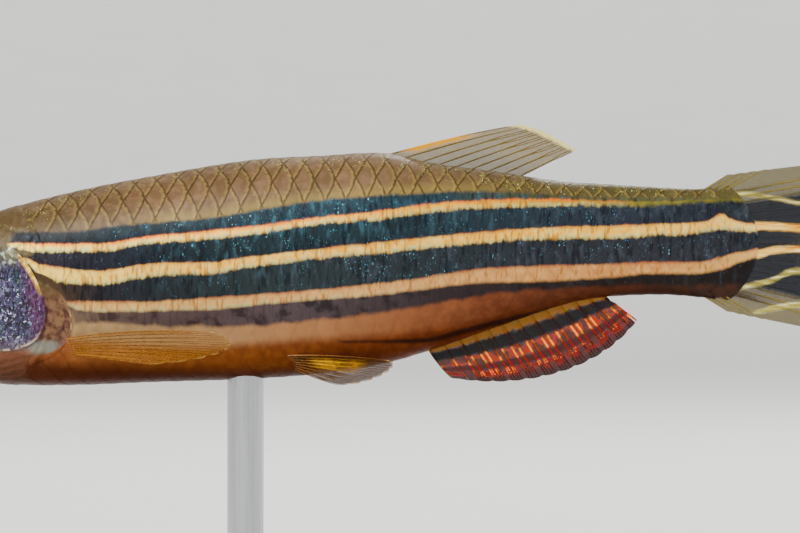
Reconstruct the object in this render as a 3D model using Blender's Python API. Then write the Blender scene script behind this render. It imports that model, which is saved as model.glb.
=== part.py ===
"""A life-size zebra danio swimming to the left, held level over a flat base by one short rod.

X runs from the snout to the tail, Y to the fish's right side and Z up, in metres. The origin is the centre of the
base's underside. Places along the fish are shares of its standard length, counted from the snout tip, and heights are
shares of it above a level line through the middle of the tail root, so one length sets the size of the whole fish.
"""

import math

import bmesh
import bpy
from mathutils import Matrix, Vector

STANDARD_LENGTH = 0.038  # snout tip to the root of the tail fin
GAP = 0.0003  # clearance between neighbouring pieces
LINE_HEIGHT = 0.021  # height of the level line above the floor
ROD_SHARE = 0.436  # place of the rod along the fish
ROD_X = -0.004  # place of the rod on the base
SNOUT_X = ROD_X - ROD_SHARE * STANDARD_LENGTH
BEYOND = 0.006  # how far a cutter reaches past the fish on each side

# Place from the snout, height of the back, height of the belly, half width.
STATIONS = (
    (0.000, -0.0495, -0.0565, 0.008),
    (0.009, -0.0370, -0.0680, 0.018),
    (0.038, -0.0170, -0.1060, 0.036),
    (0.096, 0.0130, -0.1460, 0.053),
    (0.153, 0.0370, -0.1620, 0.062),
    (0.240, 0.0600, -0.1640, 0.068),
    (0.320, 0.0760, -0.1610, 0.071),
    (0.441, 0.0960, -0.1570, 0.072),
    (0.522, 0.1010, -0.1510, 0.070),
    (0.597, 0.1040, -0.1390, 0.065),
    (0.649, 0.0930, -0.1240, 0.058),
    (0.729, 0.0820, -0.0960, 0.046),
    (0.804, 0.0710, -0.0710, 0.035),
    (0.847, 0.0685, -0.0630, 0.029),
    (0.914, 0.0645, -0.0600, 0.022),
    (0.960, 0.0630, -0.0630, 0.017),
    (1.000, 0.0680, -0.0680, 0.012),
)
HEAD_POWER = 2.6  # fullness of a section: 2 is an ellipse, more is fuller
BODY_POWER = 2.15
POWER_BLEND = (0.12, 0.34)
RING_SIDES = 28
HEAD_SHARE = 0.25
HEAD_RINGS = 16
TRUNK_RINGS = 20

# The cut behind the head is part of a cylinder across the fish, along the rear edge of the gill covers.
NECK_CENTRE = (0.0773, -0.0592)
NECK_RADIUS = 0.1352
TAIL_CUT = 0.857

GILL_CENTRE = (0.1845, -0.0700)
GILL_HALF_LENGTH = 0.0265
GILL_HALF_HEIGHT = 0.0620
GILL_THICKNESS = 0.0005
GILL_RAISE = 0.00012
GILL_GRID = 8
GILL_ROUNDING = 0.42  # 0 is a rectangle, 0.5 an ellipse

EYE_CENTRE = (0.0968, -0.0392)
EYE_RADIUS = 0.0014
EYE_DEPTH = 0.00055
EYE_SINK = 0.00034
EYE_TILT = 11.0  # degrees that the eye looks up
EYE_TURN = 9.0  # degrees that it looks forward

# The mouth line starts in front of the snout and slopes back to its corner; the jaw's rear edge runs to the throat.
MOUTH_FRONT = (-0.020, -0.0268)
MOUTH_CORNER = (0.038, -0.0800)
JAW_THROAT = (0.085, -0.1500)
LIP_RADIUS = 0.0002
LIP_POINTS = 8
LIP_CREST = 1.15  # distance of the bead's middle from the mouth's edge, in radii

NOSTRILS = ((0.034, 52.0, 0.00024), (0.050, 54.0, 0.00020))  # place, angle up the side, radius

# Angle of the root up the side, place, length, swing outward and rise as shares of the length.
BARBELS = ((17.0, 0.013, 0.0018, 0.62, -0.22), (-8.0, 0.041, 0.0040, 0.46, -0.44))
BARBEL_ROOT_RADIUS = 0.00026
BARBEL_TIP_RADIUS = 0.00010
BARBEL_STEPS = 6
BARBEL_SIDES = 6
BARBEL_SINK = 0.00035

NORMAL_STEP = 1e-3  # step in a surface's own parameters for reading its direction
FIN_HALF_THICKNESS = 0.00025
FIN_TIP_HALF_THICKNESS = 0.00013
FIN_TAPER_FROM = 0.55  # share of a ray past which the fin thins
FIN_ROWS = 5
RAY_CREST = 0.00010  # height of a ray's ridge over the membrane
RAY_STEEPNESS = 0.65  # most that a ridge rises, in half widths of its foot
RAY_FOOT = 0.24  # half width of a ray's foot, in ray spacings
RAY_NOTCH = 0.035  # share of a ray by which the membrane between two rays stops short of their tips

# Base as front and rear place, and margin from the front ray's tip to the rear one's, as places and heights.
DORSAL_BASE = (0.5968, 0.7550)
DORSAL_MARGIN = ((0.7523, 0.1370), (0.7820, 0.1345), (0.8000, 0.1180), (0.8191, 0.1083))
ANAL_BASE = (0.6450, 0.8500)
ANAL_MARGIN = ((0.6717, -0.1555), (0.7450, -0.1700), (0.8400, -0.1550), (0.8870, -0.0910))
CAUDAL_FRONT = 0.962
CAUDAL_FORK = (1.165, -0.006)
CAUDAL_SHORT_PART = 0.2885  # share of a lobe's rays that are short, up to midway between two rays
CAUDAL_UPPER = (((0.990, 0.079), (1.045, 0.0865)), ((1.260, 0.113), (1.235, 0.075), (1.185, 0.030)))
CAUDAL_LOWER = (((0.990, -0.079), (1.040, -0.0900)), ((1.260, -0.135), (1.235, -0.092), (1.185, -0.042)))

# Upper and lower end of the root, then the margin as place, height and distance from the middle in metres.
PECTORAL_ROOT = ((0.2316, -0.1094), (0.2396, -0.1279))
PECTORAL_MARGIN = (
    (0.4032, -0.1000, 0.0061),
    (0.4520, -0.1080, 0.0059),
    (0.4300, -0.1320, 0.0043),
    (0.3300, -0.1380, 0.0032),
)
PELVIC_ROOT = ((0.4931, 38.0), (0.4990, 20.0))  # place and angle from the middle of the belly
PELVIC_MARGIN = (
    (0.6000, -0.1340, 0.0022),
    (0.6240, -0.1380, 0.0019),
    (0.5900, -0.1620, 0.0012),
    (0.5450, -0.1630, 0.0009),
)

ROD_RADIUS = 0.0008
ROD_SINK = 0.0014
ROD_SIDES = 24
BASE_SIZE = (0.036, 0.022, 0.003)
BASE_CORNER = 0.004
BASE_BEVEL = 0.0005
SOCKET_DEPTH = 0.0018

SIDE_NAMES = {-1: "left", 1: "right"}


def x_at(share):
    return SNOUT_X + share * STANDARD_LENGTH


def z_at(height):
    return LINE_HEIGHT + height * STANDARD_LENGTH


def side_point(share, height, y=0.0):
    return Vector((x_at(share), y, z_at(height)))


def station_value(column, share):
    """Value of a column of STATIONS at a place, by a smooth curve through the stations."""
    places = [row[0] for row in STATIONS]
    values = [row[column] for row in STATIONS]
    last = len(places) - 1
    share = min(max(share, places[0]), places[last])
    i = max([k for k in range(last) if places[k] <= share])
    step = places[i + 1] - places[i]

    def slope(k):
        low, high = max(k - 1, 0), min(k + 1, last)
        return (values[high] - values[low]) / (places[high] - places[low])

    t = (share - places[i]) / step
    start = values[i] * (1 + 2 * t) * (1 - t) ** 2 + slope(i) * step * t * (1 - t) ** 2
    end = values[i + 1] * (3 - 2 * t) * t**2 + slope(i + 1) * step * t**2 * (t - 1)
    return start + end


def section(share):
    """Back height and belly height above the floor, half width, and fullness at a place along the fish."""
    back, belly, half_width = (station_value(column, share) for column in (1, 2, 3))
    blend = min(1.0, max(0.0, (share - POWER_BLEND[0]) / (POWER_BLEND[1] - POWER_BLEND[0])))
    power = HEAD_POWER + (BODY_POWER - HEAD_POWER) * blend
    return z_at(back), z_at(belly), half_width * STANDARD_LENGTH, power


def signed_power(value, power):
    return math.copysign(abs(value) ** power, value)


def body_point(share, angle, lift=0.0):
    """Point of the skin at a place and an angle in degrees: 0 is the right side, 90 the back, 180 the left side."""
    back, belly, half_width, power = section(share)
    middle, half_depth = (back + belly) / 2, (back - belly) / 2
    across = signed_power(math.cos(math.radians(angle)), 2 / power)
    up = signed_power(math.sin(math.radians(angle)), 2 / power)
    return Vector((x_at(share), (half_width + lift) * across, middle + (half_depth + lift) * up))


def flank(x, z):
    """Half width of the body at a place and height, seen from the side."""
    back, belly, half_width, power = section((x - SNOUT_X) / STANDARD_LENGTH)
    up = min(1.0, abs(z - (back + belly) / 2) / ((back - belly) / 2))
    return half_width * (1 - up**power) ** (1 / power)


def bezier(points, t):
    """Point of the Bezier curve with these controls."""
    while len(points) > 1:
        points = [a.lerp(b, t) for a, b in zip(points, points[1:])]
    return points[0]


def object_from_bmesh(name, built, collection):
    mesh = bpy.data.meshes.new(name)
    bmesh.ops.recalc_face_normals(built, faces=built.faces)
    built.to_mesh(mesh)
    built.free()
    made = bpy.data.objects.new(name, mesh)
    collection.objects.link(made)
    return made


def connected_faces(built):
    """Faces of a bmesh grouped into its closed surfaces."""
    islands, seen = [], set()
    for first in built.faces:
        if first in seen:
            continue
        island, waiting = [], [first]
        seen.add(first)
        while waiting:
            face = waiting.pop()
            island.append(face)
            near = {other for edge in face.edges for other in edge.link_faces} - seen
            seen.update(near)
            waiting.extend(near)
        islands.append(island)
    return islands


def enclosed_volume(island):
    total = 0.0
    for face in island:
        first = face.verts[0].co
        for one, two in zip(face.verts[1:-1], face.verts[2:]):
            total += first.dot(one.co.cross(two.co)) / 6
    return abs(total)


def keep_largest(made):
    """Removes every closed surface of a mesh but the one with the largest volume."""
    built = bmesh.new()
    built.from_mesh(made.data)
    islands = sorted(connected_faces(built), key=enclosed_volume)
    scraps = [face for island in islands[:-1] for face in island]
    bmesh.ops.delete(built, geom=scraps, context="FACES")
    built.to_mesh(made.data)
    built.free()


def apply_boolean(made, tools, operation):
    """Joins or cuts a mesh object with a collection of closed tool objects, applies it and removes the tools."""
    group = bpy.data.collections.new("tools")
    for tool in tools:
        group.objects.link(tool)
    modifier = made.modifiers.new(operation.lower(), "BOOLEAN")
    modifier.operation = operation
    modifier.operand_type = "COLLECTION"
    modifier.collection = group
    modifier.solver = "EXACT"
    graph = bpy.context.evaluated_depsgraph_get()
    mesh = bpy.data.meshes.new_from_object(made.evaluated_get(graph))
    made.modifiers.clear()
    made.data = mesh
    mesh.name = made.name
    for tool in tools:
        bpy.data.objects.remove(tool)
    bpy.data.collections.remove(group)
    keep_largest(made)


def body_places():
    """Places of the rings along the fish, close together at the snout."""
    head = [HEAD_SHARE * (k / HEAD_RINGS) ** 1.7 for k in range(HEAD_RINGS + 1)]
    rest = [HEAD_SHARE + (1 - HEAD_SHARE) * k / TRUNK_RINGS for k in range(1, TRUNK_RINGS + 1)]
    return head + rest


def whole_body(name, collection):
    """The flesh from snout to tail root as one closed loft."""
    built = bmesh.new()
    rings = []
    for share in body_places():
        angles = [360 * k / RING_SIDES for k in range(RING_SIDES)]
        rings.append([built.verts.new(body_point(share, angle)) for angle in angles])
    for near, far in zip(rings, rings[1:]):
        for k in range(RING_SIDES):
            after = (k + 1) % RING_SIDES
            built.faces.new((near[k], near[after], far[after], far[k]))
    built.faces.new(rings[0])
    built.faces.new(rings[-1])
    return object_from_bmesh(name, built, collection)


def cylinder(name, start, end, radius, sides, collection):
    """A closed cylinder between two points."""
    run = Vector(end) - Vector(start)
    turn = run.to_track_quat("Z", "Y").to_matrix().to_4x4()
    place = Matrix.Translation((Vector(start) + Vector(end)) / 2) @ turn
    built = bmesh.new()
    sizes = {"radius1": radius, "radius2": radius, "depth": run.length, "segments": sides}
    bmesh.ops.create_cone(built, cap_ends=True, matrix=place, **sizes)
    return object_from_bmesh(name, built, collection)


def ellipsoid(name, place, half_sizes, collection, columns=20, rows=10):
    """A closed ellipsoid with its poles along its own Y axis, put in place by a matrix."""
    poles_along_y = Matrix.Rotation(math.radians(90), 4, "X")
    matrix = place @ Matrix.Diagonal((*half_sizes, 1.0)) @ poles_along_y
    built = bmesh.new()
    bmesh.ops.create_uvsphere(built, u_segments=columns, v_segments=rows, radius=1.0, matrix=matrix)
    return object_from_bmesh(name, built, collection)


def box(name, low, high, collection):
    size = [b - a for a, b in zip(low, high)]
    middle = [(a + b) / 2 for a, b in zip(low, high)]
    matrix = Matrix.Translation(middle) @ Matrix.Diagonal((*size, 1.0))
    built = bmesh.new()
    bmesh.ops.create_cube(built, size=1.0, matrix=matrix)
    return object_from_bmesh(name, built, collection)


def prism(name, outline, collection):
    """A closed block across the whole fish with a side-view outline of (x, z) points."""
    built = bmesh.new()
    face = built.faces.new([built.verts.new((x, -BEYOND, z)) for x, z in outline])
    pulled = bmesh.ops.extrude_face_region(built, geom=[face])["geom"]
    moved = [v for v in pulled if isinstance(v, bmesh.types.BMVert)]
    bmesh.ops.translate(built, verts=moved, vec=(0.0, 2 * BEYOND, 0.0))
    return object_from_bmesh(name, built, collection)


def tube(name, points, radii, sides, collection):
    """A closed tapered tube through points."""
    built = bmesh.new()
    rings = []
    last = len(points) - 1
    for k, (point, radius) in enumerate(zip(points, radii)):
        turn = (points[min(k + 1, last)] - points[max(k - 1, 0)]).to_track_quat("Z", "Y")
        ring = []
        for n in range(sides):
            angle = 2 * math.pi * n / sides
            offset = Vector((math.cos(angle), math.sin(angle), 0.0)) * radius
            ring.append(built.verts.new(point + turn @ offset))
        rings.append(ring)
    for near, far in zip(rings, rings[1:]):
        for n in range(sides):
            after = (n + 1) % sides
            built.faces.new((near[n], near[after], far[after], far[n]))
    built.faces.new(rings[0])
    built.faces.new(rings[-1])
    return object_from_bmesh(name, built, collection)


def surface_normal(middle, s, v, reach):
    """Unit normal of a surface middle(s, v), its direction across taken from reach to each side of s."""
    across = middle(min(s + reach, 1.0), v) - middle(max(s - reach, 0.0), v)
    along = middle(s, min(v + NORMAL_STEP, 1.0)) - middle(s, max(v - NORMAL_STEP, 0.0))
    return across.cross(along).normalized()


def plate(name, middle, half_thickness, columns, rows, collection, reach=NORMAL_STEP):
    """A closed thin plate round the surface middle(s, v), both faces split into triangles alike."""
    built = bmesh.new()
    upper, lower = [], []
    for s in columns:
        for face, side in ((upper, 1), (lower, -1)):
            offsets = [surface_normal(middle, s, v, reach) * (side * half_thickness(s, v)) for v in rows]
            face.append([built.verts.new(middle(s, v) + offset) for v, offset in zip(rows, offsets)])
    last_s, last_v = len(columns) - 1, len(rows) - 1
    for face in (upper, lower):
        for i in range(last_s):
            for j in range(last_v):
                built.faces.new((face[i][j], face[i + 1][j], face[i + 1][j + 1]))
                built.faces.new((face[i][j], face[i + 1][j + 1], face[i][j + 1]))
    rim = [(i, 0) for i in range(last_s)] + [(last_s, j) for j in range(last_v)]
    rim += [(i, last_v) for i in range(last_s, 0, -1)] + [(0, j) for j in range(last_v, 0, -1)]
    for (i, j), (k, m) in zip(rim, rim[1:] + rim[:1]):
        built.faces.new((upper[i][j], upper[k][m], lower[k][m]))
        built.faces.new((upper[i][j], lower[k][m], lower[i][j]))
    return object_from_bmesh(name, built, collection)


def fin_thickness(v):
    """Half the membrane's thickness at a share of the way to the fin's margin."""
    late = max(0.0, (v - FIN_TAPER_FROM) / (1 - FIN_TAPER_FROM))
    return FIN_HALF_THICKNESS + (FIN_TIP_HALF_THICKNESS - FIN_HALF_THICKNESS) * late


def ray_fin(name, middle, rays, collection):
    """A fin whose rays run out to its margin, each raised as a ridge in the membrane's own surface."""
    foot = RAY_FOOT / rays
    crests = [foot + (1 - 2 * foot) * k / (rays - 1) for k in range(rays)]
    columns = [place for crest in crests for place in (crest - foot, crest, crest + foot)]
    rows = [k / FIN_ROWS for k in range(FIN_ROWS + 1)]

    def on_crest(s):
        return min(abs(s - crest) for crest in crests) < foot / 2

    def notched(s, v):
        return middle(s, v if on_crest(s) else v * (1 - RAY_NOTCH))

    def half_thickness(s, v):
        if not on_crest(s):
            return fin_thickness(v)
        across = middle(min(s + foot, 1.0), v) - middle(max(s - foot, 0.0), v)
        along = (middle(s, min(v + foot, 1.0)) - middle(s, max(v - foot, 0.0))).normalized()
        half_width = across.cross(along).length / 2
        return fin_thickness(v) + min(RAY_CREST * (1 - v / 2), RAY_STEEPNESS * half_width)

    return plate(name, notched, half_thickness, columns, rows, collection, reach=1.0)


def fan(root, tip, bow):
    """Surface from root(s) to tip(s), each ray bowed at its middle by bow(s)."""

    def middle(s, v):
        return root(s).lerp(tip(s), v) + bow(s) * (4 * v * (1 - v))

    return middle


def median_fin(name, base, margin, edge, bow_height, rays, collection):
    """Upright fin along the back for edge 0 and along the belly for edge 1."""
    outward = 1 if edge == 0 else -1
    controls = [side_point(*place) for place in margin]

    def root(s):
        share = base[0] + (base[1] - base[0]) * s
        return Vector((x_at(share), 0.0, section(share)[edge] + outward * GAP))

    def bow(s):
        return Vector((0.0, 0.0, outward * bow_height * (1 - s)))

    return ray_fin(name, fan(root, lambda s: bezier(controls, s), bow), rays, collection)


def dorsal_fin(collection):
    return median_fin("dorsal_fin", DORSAL_BASE, DORSAL_MARGIN, 0, 0.00010, 9, collection)


def anal_fin(collection):
    return median_fin("anal_fin", ANAL_BASE, ANAL_MARGIN, 1, 0.00012, 13, collection)


def caudal_lobe(name, up, leading_edge, trailing_edge, collection):
    """Upper lobe for up 1, lower lobe for up -1. Its short front rays start on the stem of the tail."""
    edge = 0 if up > 0 else 1
    stem_end = x_at(1.0) + GAP
    start = Vector((x_at(CAUDAL_FRONT), 0.0, section(CAUDAL_FRONT)[edge] + up * GAP))
    corner = Vector((stem_end, 0.0, section(1.0)[edge] + up * GAP))
    centre = Vector((stem_end, 0.0, sum(section(1.0)[:2]) / 2 + up * GAP / 2))
    fork = side_point(*CAUDAL_FORK) + Vector((0.0, 0.0, up * GAP / 2))
    lead = [side_point(*place) for place in leading_edge]
    trail = [side_point(*place) for place in trailing_edge] + [fork]

    def root(s):
        if s < CAUDAL_SHORT_PART:
            return start.lerp(corner, s / CAUDAL_SHORT_PART)
        return corner.lerp(centre, (s - CAUDAL_SHORT_PART) / (1 - CAUDAL_SHORT_PART))

    def tip(s):
        if s < CAUDAL_SHORT_PART:
            return bezier(lead, s / CAUDAL_SHORT_PART)
        return bezier(trail, (s - CAUDAL_SHORT_PART) / (1 - CAUDAL_SHORT_PART))

    return ray_fin(name, fan(root, tip, lambda s: Vector()), 10, collection)


def pectoral_fin(side, collection):
    """Fin held out from the flank behind the gill cover: side is -1 for the left fin and 1 for the right one."""
    ends = []
    for place in PECTORAL_ROOT:
        point = side_point(*place)
        point.y = side * (flank(point.x, point.z) + GAP + FIN_HALF_THICKNESS)
        ends.append(point)
    margin = [side_point(share, height, side * out) for share, height, out in PECTORAL_MARGIN]

    def bow(s):
        return Vector((0.0, side * 0.0002, 0.0002 * (1 - s)))

    middle = fan(lambda s: bezier(ends, s), lambda s: bezier(margin, s), bow)
    return ray_fin("pectoral_fin_" + SIDE_NAMES[side], middle, 10, collection)


def pelvic_fin(side, collection):
    """Small fin under the belly, spread back and outward."""
    lift = GAP + FIN_HALF_THICKNESS
    ends = [body_point(share, -90 + side * angle, lift) for share, angle in PELVIC_ROOT]
    margin = [side_point(share, height, side * out) for share, height, out in PELVIC_MARGIN]

    def bow(s):
        return Vector((0.0, side * 0.00015, 0.0001 * (1 - 2 * s)))

    middle = fan(lambda s: bezier(ends, s), lambda s: bezier(margin, s), bow)
    return ray_fin("pelvic_fin_" + SIDE_NAMES[side], middle, 7, collection)


def gill_plate(name, side, thickness, lift, grow, collection):
    """Oval plate that follows the side of the head, its outer face lift above the skin."""
    half_length = GILL_HALF_LENGTH * STANDARD_LENGTH + grow
    half_height = GILL_HALF_HEIGHT * STANDARD_LENGTH + grow

    def middle(s, v):
        a, b = 2 * s - 1, 2 * v - 1
        x = x_at(GILL_CENTRE[0]) + half_length * a * math.sqrt(1 - GILL_ROUNDING * b * b)
        z = z_at(GILL_CENTRE[1]) + half_height * b * math.sqrt(1 - GILL_ROUNDING * a * a)
        return Vector((x, side * (flank(x, z) + lift - thickness / 2), z))

    steps = [k / GILL_GRID for k in range(GILL_GRID + 1)]
    return plate(name, middle, lambda s, v: thickness / 2, steps, steps, collection)


def gill_pockets(tools):
    """Room for both gill covers, open to the side."""
    outside = 0.0012
    depth = GILL_THICKNESS - GILL_RAISE + GAP + outside
    return [gill_plate("gill_pocket", side, depth, outside, GAP, tools) for side in SIDE_NAMES]


def eye_place(side):
    """Matrix of an eye, its own Y axis pointing out of the head."""
    centre = side_point(*EYE_CENTRE)
    centre.y = side * (flank(centre.x, centre.z) - EYE_SINK)
    tilt = Matrix.Rotation(math.radians(side * EYE_TILT), 4, "X")
    turn = Matrix.Rotation(math.radians(side * EYE_TURN), 4, "Z")
    return Matrix.Translation(centre) @ turn @ tilt


def eye(side, collection):
    half_sizes = (EYE_RADIUS, EYE_DEPTH, EYE_RADIUS)
    return ellipsoid("eye_" + SIDE_NAMES[side], eye_place(side), half_sizes, collection)


def mouth_frame():
    """Direction back along the mouth line, and the direction across it into the head."""
    along = (side_point(*MOUTH_CORNER) - side_point(*MOUTH_FRONT)).normalized()
    return along, Vector((-along.z, 0.0, along.x))


def jaw_outline(offset):
    """Side-view outline of the lower jaw's wedge, its two cut lines moved out by offset."""
    front, corner, throat = (side_point(*p) for p in (MOUTH_FRONT, MOUTH_CORNER, JAW_THROAT))
    mouth_out = mouth_frame()[1]
    rear = (throat - corner).normalized()
    rear_out = Vector((-rear.z, 0.0, rear.x))
    middle = (mouth_out + rear_out).normalized()
    shift = offset / middle.dot(mouth_out)
    points = [front + mouth_out * offset, corner + middle * shift, throat + rear_out * offset]
    points.append(Vector((front.x, 0.0, points[-1].z)))
    return [(point.x, point.z) for point in points]


def lip(name, lift, collection):
    """Bead along the edge of the mouth from corner to corner, lift above the mouth line."""
    along, out = mouth_frame()
    corner = side_point(*MOUTH_CORNER) + out * lift

    def on_line(x):
        return Vector((x, 0.0, corner.z + (x - corner.x) * along.z / along.x))

    steps = 200
    places = [on_line(x_at(0) + (corner.x - x_at(0)) * k / steps) for k in range(steps)]
    front = next(point for point in places if flank(point.x, point.z) > 0)
    points = []
    for k in range(-LIP_POINTS, LIP_POINTS + 1):
        back = abs(k / LIP_POINTS) ** 1.6
        point = on_line(front.x + (corner.x - front.x) * back)
        point.y = math.copysign(flank(point.x, point.z), k) if k else 0.0
        points.append(point)
    return tube(name, points, [LIP_RADIUS] * len(points), 6, collection)


def barbel(side, angle, share, length, swing, rise, collection):
    """A feeler beside the mouth that swings out and trails back and down."""
    root = body_point(share, angle if side > 0 else 180 - angle, -BARBEL_SINK)
    controls = [
        root,
        root + Vector((0.10 * length, side * (2 * BARBEL_SINK + 0.3 * swing * length), 0.1 * rise * length)),
        root + Vector((0.55 * length, side * swing * length, 0.6 * rise * length)),
        root + Vector((0.95 * length, side * 0.9 * swing * length, rise * length)),
    ]
    steps = [k / BARBEL_STEPS for k in range(BARBEL_STEPS + 1)]
    points = [bezier(controls, t) for t in steps]
    radii = [BARBEL_ROOT_RADIUS + (BARBEL_TIP_RADIUS - BARBEL_ROOT_RADIUS) * t for t in steps]
    return tube("barbel", points, radii, BARBEL_SIDES, collection)


def nostrils(tools):
    cuts = []
    for share, angle, radius in NOSTRILS:
        for turned in (angle, 180 - angle):
            place = Matrix.Translation(body_point(share, turned))
            cuts.append(ellipsoid("nostril", place, (radius * 1.3, radius, radius), tools, 10, 6))
    return cuts


def eye_sockets(tools):
    half_sizes = (EYE_RADIUS + GAP, EYE_DEPTH + GAP, EYE_RADIUS + GAP)
    return [ellipsoid("socket", eye_place(side), half_sizes, tools) for side in SIDE_NAMES]


def neck_cutter(grow, tools):
    x, z = x_at(NECK_CENTRE[0]), z_at(NECK_CENTRE[1])
    radius = NECK_RADIUS * STANDARD_LENGTH + grow
    return cylinder("neck", (x, -BEYOND, z), (x, BEYOND, z), radius, 96, tools)


def head(collection, tools):
    made = whole_body("head", collection)
    apply_boolean(made, [neck_cutter(-GAP / 2, tools)], "INTERSECT")
    apply_boolean(made, [prism("jaw_room", jaw_outline(GAP / 2), tools)], "DIFFERENCE")
    grown = [lip("upper_lip", GAP / 2 + LIP_RADIUS * LIP_CREST, tools)]
    grown += [barbel(side, *sizes, tools) for side in SIDE_NAMES for sizes in BARBELS]
    apply_boolean(made, grown, "UNION")
    apply_boolean(made, eye_sockets(tools) + gill_pockets(tools) + nostrils(tools), "DIFFERENCE")
    return made


def lower_jaw(collection, tools):
    made = whole_body("lower_jaw", collection)
    apply_boolean(made, [prism("jaw_wedge", jaw_outline(-GAP / 2), tools)], "INTERSECT")
    apply_boolean(made, [lip("lower_lip", -GAP / 2 - LIP_RADIUS * LIP_CREST, tools)], "UNION")
    return made


def trunk(collection, tools):
    made = whole_body("trunk", collection)
    low, high = (x_at(0) - BEYOND, -BEYOND, 0.0), (x_at(TAIL_CUT) - GAP / 2, BEYOND, 2 * LINE_HEIGHT)
    apply_boolean(made, [box("front", low, high, tools)], "INTERSECT")
    top = section(ROD_SHARE)[1] + ROD_SINK + GAP
    socket = cylinder("rod_hole", (ROD_X, 0, 0), (ROD_X, 0, top), ROD_RADIUS + GAP, ROD_SIDES, tools)
    apply_boolean(made, [neck_cutter(GAP / 2, tools), socket] + gill_pockets(tools), "DIFFERENCE")
    return made


def tail_stem(collection, tools):
    made = whole_body("tail_stem", collection)
    low, high = (x_at(TAIL_CUT) + GAP / 2, -BEYOND, 0.0), (x_at(1) + BEYOND, BEYOND, 2 * LINE_HEIGHT)
    apply_boolean(made, [box("rear", low, high, tools)], "INTERSECT")
    return made


def stand_base(collection, tools):
    """Flat base with rounded corners and a hole for the rod."""
    length, width, height = BASE_SIZE
    low, high = (-length / 2, -width / 2, 0.0), (length / 2, width / 2, height)
    base = box("stand_base", low, high, collection)
    built = bmesh.new()
    built.from_mesh(base.data)
    upright = [e for e in built.edges if abs(e.verts[0].co.z - e.verts[1].co.z) > height / 2]
    bmesh.ops.bevel(built, geom=upright, offset=BASE_CORNER, segments=6, profile=0.5, affect="EDGES")
    top = [e for e in built.edges if min(v.co.z for v in e.verts) > height * 0.9]
    bmesh.ops.bevel(built, geom=top, offset=BASE_BEVEL, segments=2, profile=0.5, affect="EDGES")
    built.to_mesh(base.data)
    built.free()
    ends = (ROD_X, 0, height - SOCKET_DEPTH), (ROD_X, 0, 2 * height)
    socket = cylinder("rod_socket", *ends, ROD_RADIUS + GAP, ROD_SIDES, tools)
    apply_boolean(base, [socket], "DIFFERENCE")
    return base


def stand_rod(collection, tools):
    """Rod from the bottom of its socket in the base up into the belly."""
    foot = BASE_SIZE[2] - SOCKET_DEPTH + GAP
    top = section(ROD_SHARE)[1] + ROD_SINK
    return cylinder("stand_rod", (ROD_X, 0, foot), (ROD_X, 0, top), ROD_RADIUS, ROD_SIDES, collection)


def material(name, colour, roughness, metallic=0.0):
    made = bpy.data.materials.new(name)
    made.use_nodes = True
    shader = made.node_tree.nodes["Principled BSDF"]
    shader.inputs["Base Color"].default_value = (*colour, 1.0)
    shader.inputs["Roughness"].default_value = roughness
    shader.inputs["Metallic"].default_value = metallic
    return made


def paint(made, finish):
    made.data.materials.clear()
    made.data.materials.append(finish)
    made.data.shade_smooth()
    made.data.set_sharp_from_angle(angle=math.radians(40))


def main():
    for old in list(bpy.data.objects):
        bpy.data.objects.remove(old)
    fish = bpy.data.collections.new("zebra_danio")
    tools = bpy.data.collections.new("cutters")
    for collection in (fish, tools):
        bpy.context.scene.collection.children.link(collection)

    skin = material("skin", (0.42, 0.34, 0.20), 0.35, 0.3)
    for build in (head, lower_jaw, trunk, tail_stem):
        paint(build(fish, tools), skin)

    silver = material("silver", (0.55, 0.50, 0.58), 0.25, 0.6)
    glossy_black = material("glossy_black", (0.05, 0.05, 0.05), 0.1)
    membrane = material("membrane", (0.62, 0.50, 0.22), 0.4)
    for side, word in SIDE_NAMES.items():
        paint(gill_plate("gill_cover_" + word, side, GILL_THICKNESS, GILL_RAISE, 0.0, fish), silver)
        paint(eye(side, fish), glossy_black)
        paint(pectoral_fin(side, fish), membrane)
        paint(pelvic_fin(side, fish), membrane)
    paint(dorsal_fin(fish), membrane)
    paint(anal_fin(fish), membrane)
    paint(caudal_lobe("caudal_fin_upper", 1, *CAUDAL_UPPER, fish), membrane)
    paint(caudal_lobe("caudal_fin_lower", -1, *CAUDAL_LOWER, fish), membrane)

    paint(stand_base(fish, tools), material("dark_base", (0.03, 0.03, 0.03), 0.5))
    paint(stand_rod(fish, tools), material("steel", (0.6, 0.6, 0.62), 0.3, 1.0))
    bpy.data.collections.remove(tools)


main()
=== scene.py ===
"""The looks of a life-size zebra danio on its display stand: skin, scales, gills, eyes, fins and light."""

import math

import bpy
import numpy as np
from mathutils import Matrix, Vector


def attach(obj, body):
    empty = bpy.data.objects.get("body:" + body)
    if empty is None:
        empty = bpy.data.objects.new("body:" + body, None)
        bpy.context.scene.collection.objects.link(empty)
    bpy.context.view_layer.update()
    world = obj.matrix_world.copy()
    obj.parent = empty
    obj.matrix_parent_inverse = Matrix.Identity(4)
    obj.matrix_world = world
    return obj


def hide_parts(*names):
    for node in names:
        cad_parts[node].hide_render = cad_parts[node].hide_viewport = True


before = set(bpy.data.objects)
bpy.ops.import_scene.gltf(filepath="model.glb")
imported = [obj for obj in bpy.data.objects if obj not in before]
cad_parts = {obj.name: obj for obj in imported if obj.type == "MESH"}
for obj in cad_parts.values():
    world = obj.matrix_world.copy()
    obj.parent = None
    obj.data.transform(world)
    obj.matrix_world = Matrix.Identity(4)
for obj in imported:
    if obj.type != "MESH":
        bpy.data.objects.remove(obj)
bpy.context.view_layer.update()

# The body's own sizes, as in the solids. Places are shares of the standard length, heights too.
STANDARD_LENGTH = 0.038
LINE_HEIGHT = 0.021
ROD_SHARE = 0.436
ROD_X = -0.004
SNOUT_X = ROD_X - ROD_SHARE * STANDARD_LENGTH
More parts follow.
